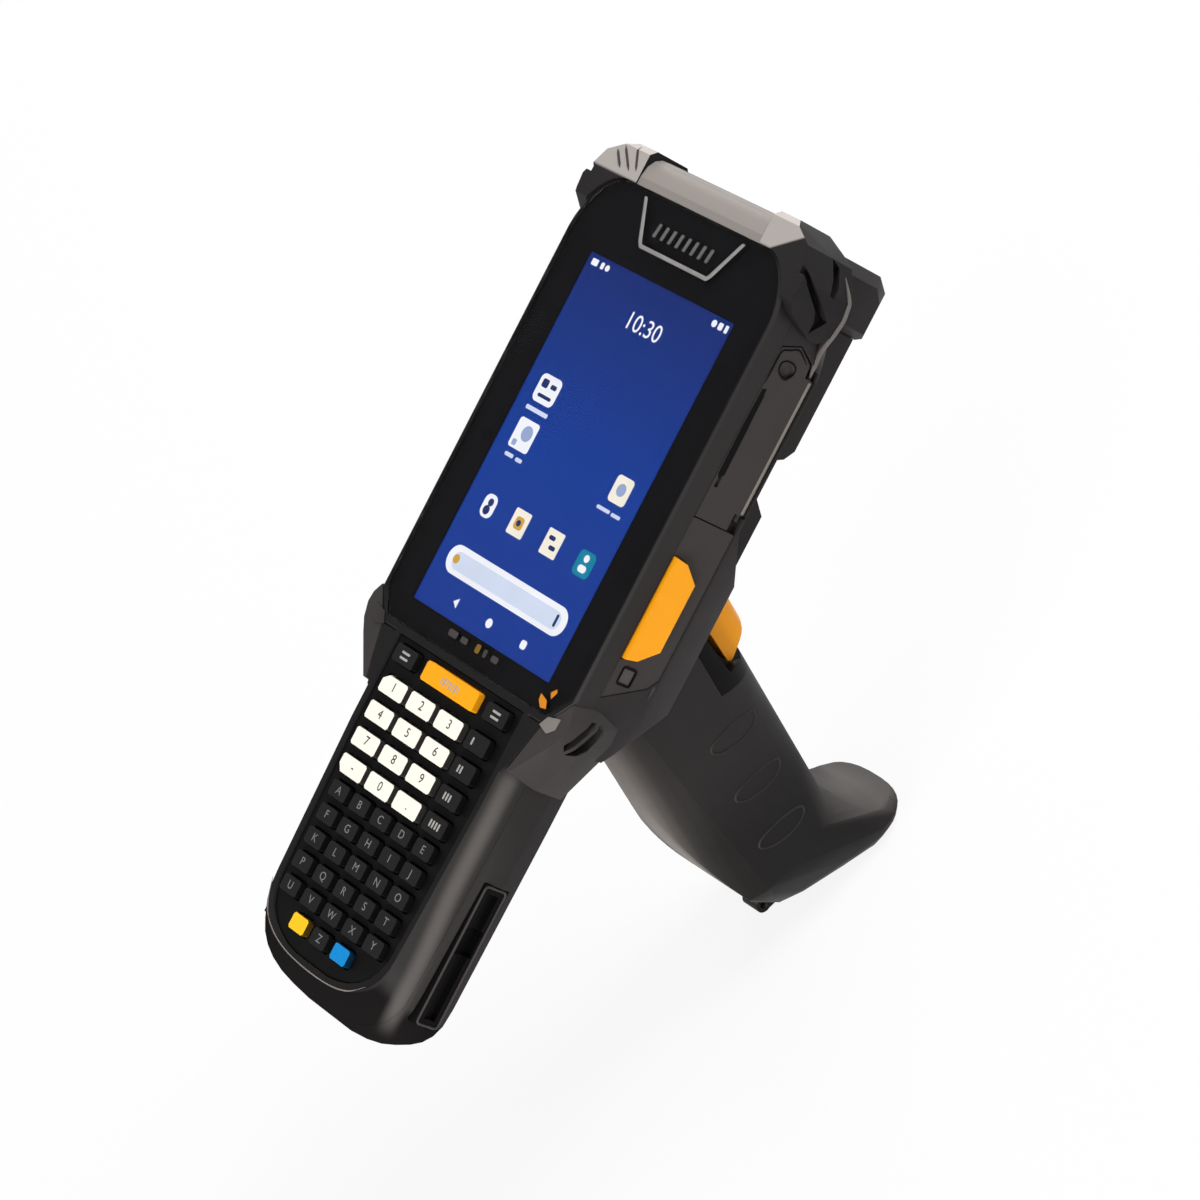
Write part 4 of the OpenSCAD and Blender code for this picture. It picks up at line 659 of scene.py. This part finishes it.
def text_mesh(word, size, x, y, z, thick):
    """Bmesh of generic numbers or letters centred on a point."""
    data = bpy.data.curves.new("word", "FONT")
    data.body = word
    data.size = size
    data.align_x = "CENTER"
    data.align_y = "CENTER"
    data.extrude = thick / 2
    obj = bpy.data.objects.new("word", data)
    bpy.context.collection.objects.link(obj)
    bpy.context.view_layer.update()
    shown = obj.evaluated_get(bpy.context.evaluated_depsgraph_get())
    mesh = bpy.data.meshes.new_from_object(shown)
    bm = bmesh.new()
    bm.from_mesh(mesh)
    bpy.data.objects.remove(obj)
    bpy.data.meshes.remove(mesh)
    bpy.data.curves.remove(data)
    bmesh.ops.transform(bm, matrix=Matrix.Translation((x, y, z + thick / 2)), verts=bm.verts)
    return bm


def joined(parts):
    """One bmesh from several."""
    whole = bmesh.new()
    for bm in parts:
        mesh = bpy.data.meshes.new("part")
        bm.to_mesh(mesh)
        bm.free()
        whole.from_mesh(mesh)
        bpy.data.meshes.remove(mesh)
    return whole


def curve(points, step=6, closed=False):
    """Smooth line through points, as more points."""
    pts = [Vector(p) for p in points]
    n = len(pts)
    out = []
    for i in range(n if closed else n - 1):
        p0 = pts[i - 1] if closed or i else pts[0]
        p1, p2 = pts[i], pts[(i + 1) % n]
        p3 = pts[(i + 2) % n] if closed or i + 2 < n else pts[-1]
        for k in range(step):
            t = k / step
            out.append(0.5 * (2 * p1 + (p2 - p0) * t + (2 * p0 - 5 * p1 + 4 * p2 - p3) * t ** 2
                              + (3 * p1 - p0 - 3 * p2 + p3) * t ** 3))
    if not closed:
        out.append(pts[-1])
    return out


def sided(points, sx):
    """Points of the right side, mirrored to the left where sx is -1."""
    return [Vector((sx * p.x, p.y, p.z)) for p in points]


def drape(points, node, direction, move=PLACE, lift=0.0):
    """Points moved along a direction until they meet a CAD node, then lifted off it. All in
    mm. A point that meets nothing is left out."""
    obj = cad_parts[node]
    inside = obj.matrix_world.inverted() @ move
    ahead = Vector(direction).normalized()
    out = []
    for p in points:
        start = inside @ (Vector(p) - ahead * DRAPE_REACH)
        end = inside @ Vector(p)
        hit, place, _, _ = obj.ray_cast(start, (end - start).normalized())
        if hit:
            out.append(inside.inverted() @ place - ahead * lift)
    return out


def bead(name, path, r, mat, body=CHASSIS, move=PLACE, closed=False, sides=8):
    """Thin round bead along a line of points in mm. Open ends are drawn in."""
    bm = bmesh.new()
    n = len(path)
    rings = []
    for i, p in enumerate(path):
        before = path[i - 1] if closed or i else path[0]
        after = path[(i + 1) % n] if closed or i + 1 < n else path[-1]
        along = (after - before).normalized()
        guide = Vector((1, 0, 0)) if abs(along.x) < STEEP else Vector((0, 0, 1))
        across = along.cross(guide).normalized()
        up = across.cross(along)
        k = 1.0 if closed else min(1.0, BEAD_TIP + BEAD_SWELL * min(i, n - 1 - i) / n)
        rings.append([bm.verts.new(p + (across * c + up * s) * r * k)
                      for c, s in circle(0, 0, 1, sides)])
    for i in range(n if closed else n - 1):
        one, two = rings[i], rings[(i + 1) % n]
        for j in range(sides):
            m = (j + 1) % sides
            bm.faces.new((one[j], one[m], two[m], two[j]))
    if not closed:
        bm.faces.new(list(reversed(rings[0])))
        bm.faces.new(rings[-1])
    add_piece(name, bm, mat, body, move)


# ---------- display and glass ----------

UI_Z, UI_STEP, UI_THICK = 0.02, 0.03, 0.02
INK_LEVELS = (0.32, 0.42)
MARK_LEVELS = (GLASS_TOP - 0.02, GLASS_TOP + 0.03)


def glass_outline(d):
    """Outline of the cover glass, made smaller by d."""
    lean = GLASS_CUT_LEAN * d
    right = [(GLASS_HW - GLASS_CUT_X - lean, GLASS_Y0 + d),
             (GLASS_HW - d, GLASS_Y0 + GLASS_CUT_Y + lean)]
    for i in range(13):
        a = math.radians(90 * i / 12)
        out, up = math.cos(a) ** GLASS_ARC_POWER, math.sin(a) ** GLASS_ARC_POWER
        right.append((GLASS_HW - GLASS_ARC_X - d + GLASS_ARC_X * out,
                      GLASS_Y1 - GLASS_ARC_Y - d + GLASS_ARC_Y * up))
    return right + [(-x, y) for x, y in reversed(right)]


def window_outline(pts, hw, hl):
    """The lit area's outline with a point toward each of pts, and one at each of its corners."""
    inner = []
    for x, y in pts:
        k = max(abs(x) / hw, abs(y) / hl)
        inner.append((x / k, y / k))
    for corner in ((-hw, -hl), (-hw, hl), (hw, -hl), (hw, hl)):
        nearest = min(range(len(inner)), key=lambda i: math.dist(inner[i], corner))
        inner[nearest] = corner
    return inner


def add_ink():
    """Black print on the back of the cover glass, around the lit area."""
    bm = bmesh.new()
    outer = glass_outline(0.15)
    ring(bm, outer, window_outline(outer, SCREEN_W / 2, SCREEN_L / 2), *INK_LEVELS)
    add_piece("glass_border", bm, INK)


def ui(name, mat, *outlines, level=0):
    """A shape on the display, from one or more outlines."""
    z = UI_Z + UI_STEP * level
    plate(f"ui_{name}", outlines, (z, z + UI_THICK), mat)


def add_ui():
    # status marks in the corners
    ui("status_left", UI_WHITE, rounded(-25.6, 44.8, 2.4, 1.7, 0.3),
       rounded(-22.6, 44.8, 1.2, 1.7, 0.3), circle(-20.6, 44.8, 0.8))
    ui("status_right", UI_WHITE, circle(21.6, 44.8, 0.9), rounded(24.0, 44.8, 1.6, 1.8, 0.4),
       rounded(26.2, 44.8, 1.1, 1.9, 0.2))
    add_piece("ui_clock", text_mesh("10:30", 6.2, 0.4, 36.2, UI_Z, UI_THICK), UI_WHITE)
    # widgets in the left column
    ui("tile_upper", UI_WHITE, rounded(-19.7, 12.4, 8.2, 7.2, 1.6))
    ui("tile_upper_marks", UI_DARK, rounded(-21.4, 13.7, 2.4, 2.2, 0.6),
       rounded(-18.0, 13.6, 2.2, 1.2, 0.4), rounded(-19.6, 10.6, 5.2, 0.9, 0.4), level=1)
    ui("tile_upper_label", UI_PALE, rounded(-19.7, 6.8, 8.6, 1.1, 0.3))
    ui("tile_lower", UI_WHITE, rounded(-19.8, 0.3, 7.8, 7.8, 0.9))
    ui("tile_lower_marks", UI_GREY, circle(-19.0, 0.9, 2.0),
       rounded(-21.9, -2.2, 1.6, 1.6, 0.4), level=1)
    ui("tile_lower_label", UI_PALE, rounded(-21.4, -5.5, 3.4, 1.0, 0.4),
       rounded(-17.4, -5.6, 2.6, 1.0, 0.4))
    # tile at the right
    ui("tile_right", UI_CREAM, rounded(19.6, 0.3, 6.4, 6.8, 1.1))
    ui("tile_right_mark", UI_GREY, circle(19.6, 0.4, 1.6), level=1)
    ui("tile_right_label", UI_PALE, rounded(17.0, -5.5, 5.0, 0.9, 0.3),
       rounded(21.9, -5.6, 3.4, 0.9, 0.3))
    # dock
    ui("dock_1", UI_WHITE, rounded(-19.4, -18.6, 4.8, 6.0, 1.9))
    ui("dock_1_mark", UI_DARK, circle(-19.2, -17.6, 1.0), circle(-19.6, -19.7, 1.2), level=1)
    ui("dock_2", UI_CREAM, rounded(-6.9, -18.5, 6.2, 6.6, 0.5))
    ui("dock_2_mark", UI_AMBER, rounded(-6.9, -18.5, 3.2, 3.2, 0.9), level=1)
    ui("dock_2_dot", UI_DARK, circle(-7.0, -18.5, 0.8), level=2)
    ui("dock_3", UI_CREAM, rounded(6.7, -18.6, 6.2, 6.6, 0.4))
    ui("dock_3_mark", UI_DARK, rounded(6.0, -17.4, 2.4, 1.1, 0.5),
       rounded(7.4, -19.6, 2.4, 1.1, 0.5), level=1)
    ui("dock_4", UI_TEAL, rounded(19.9, -18.9, 6.2, 6.4, 1.4))
    ui("dock_4_mark", UI_WHITE, circle(19.9, -17.5, 0.95),
       rounded(19.9, -20.1, 3.0, 1.8, 0.9), level=1)
    # search bar
    ui("search", UI_WHITE, rounded(-0.2, -33.6, 48.4, 7.4, 3.6, 8))
    ui("search_glow", UI_PALE, rounded(-0.2, -33.7, 44.0, 4.6, 2.2, 8), level=1)
    ui("search_dot", UI_AMBER, circle(-21.0, -33.5, 1.2), level=2)
    ui("search_mark", UI_DARK, rounded(20.2, -33.6, 0.9, 3.2, 0.4), level=2)
    # navigation marks
    ui("back", UI_WHITE, [(-15.0, -42.5), (-13.2, -41.2), (-13.2, -43.8)])
    ui("home", UI_WHITE, circle(-0.1, -42.5, 1.2))
    ui("recent", UI_WHITE, rounded(14.0, -42.5, 2.2, 2.2, 0.7))


def add_badge():
    """Thin pale line in the shape of a trapezoid on the glass, below the top bar."""
    cx, top, bottom, y1, y0, w = 0.7, 19.6, 14.2, 64.2, 52.6, 1.0
    outer = [(cx - top, y1), (cx - bottom, y0 + 1.2), (cx - bottom + 1.2, y0),
             (cx + bottom - 1.2, y0), (cx + bottom, y0 + 1.2), (cx + top, y1)]
    inner = [(cx - top + w * 1.1, y1), (cx - bottom + w * 1.1, y0 + 1.5),
             (cx - bottom + 1.6, y0 + w), (cx + bottom - 1.6, y0 + w),
             (cx + bottom - w * 1.1, y0 + 1.5), (cx + top - w * 1.1, y1)]
    plate("badge_line", [outer + list(reversed(inner))], (GLASS_TOP - 0.02, GLASS_TOP + 0.16),
          BADGE_LINE, bevel=0.08)


def add_badge_bars():
    """Earpiece bars inside the badge outline."""
    bars = [[(x - 0.7, 56.4), (x + 0.35, 56.4), (x + 0.9, 59.9), (x - 0.15, 59.9)]
            for x in (-9.4 + 2.9 * k for k in range(8))]
    plate("earpiece_bars", bars, (GLASS_TOP - 0.02, GLASS_TOP + 0.08), BAR_PRINT)


def add_glass_marks():
    """Faint marks printed below the lit area, and two orange ones in the glass's corner."""
    marks = ((-8.2, 3.4, 1.7), (-3.6, 2.6, 1.5), (5.0, 1.2, 2.0), (9.0, 2.6, 1.6))
    plate("glass_marks", [rounded(x, -49.0, w, h, 0.3, 3) for x, w, h in marks], MARK_LEVELS,
          DIM_MARKS_AND_HIGHLIGHT)
    plate("glass_mark_amber", [rounded(2.0, -48.9, 1.7, 2.2, 0.5, 3)], MARK_LEVELS,
          AMBER_PRINT)
    corner = [[(28.6, -49.6), (31.4, -50.4), (32.4, -52.2), (30.4, -52.6), (28.8, -51.2)],
              [(31.4, -48.3), (32.8, -46.9), (33.4, -47.6), (32.4, -49.6)]]
    plate("corner_marks", corner, MARK_LEVELS, ORANGE_PRINT)


# ---------- keypad legends ----------

NUMBERS, LETTERS = "123456789-0.", "ABCDEFGHIJKLMNOPQRSTUVWXY"
NUMBER_SIZE, LETTER_SIZE, PRINT_THICK = 3.3, 2.9, 0.03
BAR_LEVELS = (KEY_TOP - 0.01, KEY_TOP + 0.02)


def key_text(word, size, x, y):
    return text_mesh(word, size, x, y, KEY_TOP - 0.005, PRINT_THICK)


def add_legends():
    for i, word in enumerate(NUMBERS):
        row, col = divmod(i, 3)
        x, y = -1.5 * NUM_X + col * NUM_X, NUM_Y1 - row * NUM_Y
        add_piece(f"number_print_{i + 1}", key_text(word, NUMBER_SIZE, x + 0.3, y + 0.1),
                  DARK_PRINT, f"number_key_{i + 1}")
    for row in range(5):
        words = [key_text(LETTERS[row * 5 + c], LETTER_SIZE, (c - 2) * LET_X,
                          LET_Y1 - row * LET_Y) for c in range(5)]
        add_piece(f"letter_print_{row + 1}", joined(words), GREY_PRINT,
                  f"letter_keys_{row + 1}")
    add_piece("middle_print", key_text("Z", LETTER_SIZE, 0, PILL_Y), GREY_PRINT,
              "middle_key")
    # plain bars on the function, menu and scan keys
    for i in range(4):
        bars = [rounded(16.0 + 1.1 * k, NUM_Y1 - i * NUM_Y, 0.6, 1.9, 0.2, 3)
                for k in range(i + 1)]
        plate(f"function_print_{i + 1}", bars, BAR_LEVELS, WHITE_PRINT,
              f"function_key_{i + 1}")
    for side, sx in reversed(SIDES):
        bars = [rounded(sx * MENU_X, MENU_Y + dy, 3.2, 0.6, 0.25, 3) for dy in (-0.7, 0.7)]
        plate(f"{side}_menu_print", bars, BAR_LEVELS, WHITE_PRINT,
              f"{side}_menu_key")
    bars = [rounded(-3.3 + 1.1 * k, MENU_Y, w, 2.0, 0.1, 2)
            for k, w in enumerate((0.4, 0.7, 0.3, 0.6, 0.3, 0.7, 0.4))]
    plate("scan_print", bars, BAR_LEVELS, WHITE_PRINT, "scan_key")


# ---------- lines and marks on the body ----------

TOWARD_LEFT, DOWN = (-1, 0, 0), (0, 0, -1)


def on_side(points):
    """Points drawn as (y, z), on the plane of the port cover's face."""
    return [Vector((FLAP_X, y, z)) for y, z in points]


def add_ridges():
    """Ridge from the bumper to the hinge of the port cover, and on below it, drawn as a painted
    highlight line; the hinge's barrel also takes a painted highlight.
    """
    upper = curve([(0, 55, -16.6), (0, 59.5, -16.0), (0, 64, -14.6), (0, 68, -12.6)])
    joint = [(39.3, 43.8, -18.1), (39.6, 47, -17.5), (39.9, 50.4, -17.0), (40.7, 53.0, -16.8)]
    web = [(41.4, 55.6), (40.7, 53.2), (39.9, 50.6), (39.5, 47.4), (38.6, 47.4), (37.6, 50.6),
           (36.4, 55.6)]
    lower = curve([(0, 3, -19.3), (0, -8, -19.3), (0, -28, -19.3), (0, -40, -19.0)])
    upper_path = drape(upper, "right_bumper", TOWARD_LEFT, lift=-0.1)
    upper_path = curve(joint + [upper_path[0]])[:-1] + upper_path
    lower_path = drape(lower, "rear_housing", TOWARD_LEFT)
    for side, sx in SIDES:
        plate(f"{side}_ridge_web", [[(sx * x, y) for x, y in web]], (-17.4, -16.3), SIDE,
              bevel=0.2)
        bead(f"{side}_ridge_upper", sided(upper_path, sx), 0.6, RIDGE_HIGHLIGHT)
        bead(f"{side}_ridge_lower", sided(lower_path, sx), 0.45, DIM_MARKS_AND_HIGHLIGHT)
    barrel = [Vector((HINGE_X, y, HINGE_Z))
              for y in (FLAP_Y0 + 4.3, FLAP_Y0 + 4.8, FLAP_Y1 - 6.9, FLAP_Y1 - 6.4)]
    bead("hinge_barrel_highlight", barrel, HINGE_R + 0.06, EDGE_HIGHLIGHT, "port_cover",
         sides=24)


def add_port_cover_marks():
    """Nail slot, edge and oval of the port cover."""
    # the black wedge is painted shade inside the nail slot
    slot = [(36.6, -5.9), (36.9, -7.2), (26.2, -7.7), (14.8, -7.8), (13.6, -6.5), (14.6, -5.8),
            (26.6, -5.7)]
    plate("nail_slot_wedge", [slot], (FLAP_X - 0.3, FLAP_X + 0.04), BLACK,
          "port_cover", SIDEWAYS)
    edge = [(38, -5.75), (42, -5.75), (45.2, -5.8), (46.6, -6.3), (47.3, -8.2), (48.2, -11.0),
            (46.0, -15.0)]
    bead("port_cover_edge", curve(on_side(edge)), 0.22, BLACK, "port_cover")
    oval = [(41.8, -8.0), (43.9, -7.6), (44.9, -9.6), (44.3, -12.2), (42.2, -12.4),
            (41.0, -10.4)]
    bead("oval_mark", curve(on_side(oval), closed=True), 0.22, BLACK,
         "port_cover", closed=True)


def add_button_surround():
    """Black surround of the small button on the right side."""
    bead("button_surround", on_side(rounded(-37.2, -9.8, 4.3, 4.3, 0.6, 3)), 0.28, BLACK,
         closed=True)


def add_keypad_line():
    """Thin pale line where the keypad's face meets the lower end: a painted highlight along the
    rim.
    """
    line = [(-26.4, -122.5), (-24.2, -127.4), (-20.6, -131.4), (-13.5, -134.4), (-4, -135.7),
            (8, -135.6), (16, -133.9), (21.4, -130.2)]
    bead("keypad_line", curve([(x, y, 1.15) for x, y in line]), 0.16, EDGE_HIGHLIGHT)


def add_grip_ridges():
    """Three faint long ovals on each side of the grip, one above the other."""
    half_y, half_z, lean = 7.8, 3.0, 0.12
    for i, (cy, cz) in enumerate(((-11.0, 66), (-12.0, 48.5), (-13.0, 31)), 1):
        oval = [(half_y * c, half_z * s) for c, s in circle(0, 0, 1, 40)]
        oval = [(0, cy + y, cz + z - lean * y) for y, z in oval]
        path = drape(oval, "grip_shell", TOWARD_LEFT, ROW, -0.12)
        for side, sx in SIDES:
            bead(f"{side}_grip_ridge_{i}", sided(path, sx), 0.36, BODY,
                 move=ROW, closed=True)


def add_bumper_marks():
    """Black floors of the grooves in both bumpers, as painted shade in the recesses, and bars on
    the left bumper's top.
    """
    long_floor = [(62.0, 0.1), (60.0, -3.5), (57.7, -7.0), (55.6, -8.9), (53.2, -9.9),
                  (56.7, -11.8), (58.6, -9.0), (60.6, -5.9), (62.6, -2.4)]
    short_floor = [(70.2, -7.7), (66.2, -8.7), (62.8, -8.4), (62.5, -9.4), (65.2, -10.3),
                   (69.0, -9.8)]
    for side, sx in SIDES:
        for kind, floor, x in (("long", long_floor, LONG_GROOVE_X),
                               ("short", short_floor, SHORT_GROOVE_X)):
            plate(f"{side}_{kind}_groove_floor", [floor], (sx * x, sx * (x + 0.1)), BLACK,
                  move=SIDEWAYS)
    bars = (((-35.6, 71.6), (-31.6, 67.6)), ((-33.6, 73.2), (-28.2, 67.8)),
            ((-29.4, 74.4), (-25.8, 68.4)))
    for i, ((x0, y0), (x1, y1)) in enumerate(bars, 1):
        line = [(x0 + (x1 - x0) * t / 5, y0 + (y1 - y0) * t / 5, 0) for t in range(6)]
        bead(f"left_bumper_bar_{i}", drape(line, "left_bumper", DOWN, lift=-0.1), 0.4,
             DIM_MARKS_AND_HIGHLIGHT)


def add_rail_frames():
    """Raised edge around each side rail, lighter than the body as a painted highlight."""
    line = rounded((RAIL_Y0 + RAIL_Y1) / 2, (RAIL_Z0 + RAIL_Z1) / 2,
                   RAIL_Y1 - RAIL_Y0 - 0.8, RAIL_Z1 - RAIL_Z0 - 0.8, 1, 4)
    for side, sx in SIDES:
        bead(f"{side}_rail_edge", [Vector((sx * RAIL_X, y, z)) for y, z in line], 0.3,
             DIM_MARKS_AND_HIGHLIGHT, closed=True)


def add_ear_tabs():
    """Tab between each ear and the corner of the glass, dark on the left and pale on the right,
    where the pale grey is a painted highlight on the same part.
    """
    tab = [(32.6, -56.0), (34.2, -53.4), (38.4, -52.4), (38.2, -55.2), (36.0, -57.0)]
    for side, sx, grey in (("left", -1, srgb(52, 49, 48)), ("right", 1, srgb(122, 117, 112))):
        plate(f"{side}_ear_tab", [[(sx * x, y) for x, y in tab]], (0.9, 1.5),
              moulded(f"{side}_tab_plastic", grey), bevel=0.15)


add_ink()
add_ui()
add_badge()
add_legends()
add_ridges()
add_port_cover_marks()
add_button_surround()
add_badge_bars()
add_glass_marks()
add_keypad_line()
add_grip_ridges()
add_bumper_marks()
add_rail_frames()
add_ear_tabs()
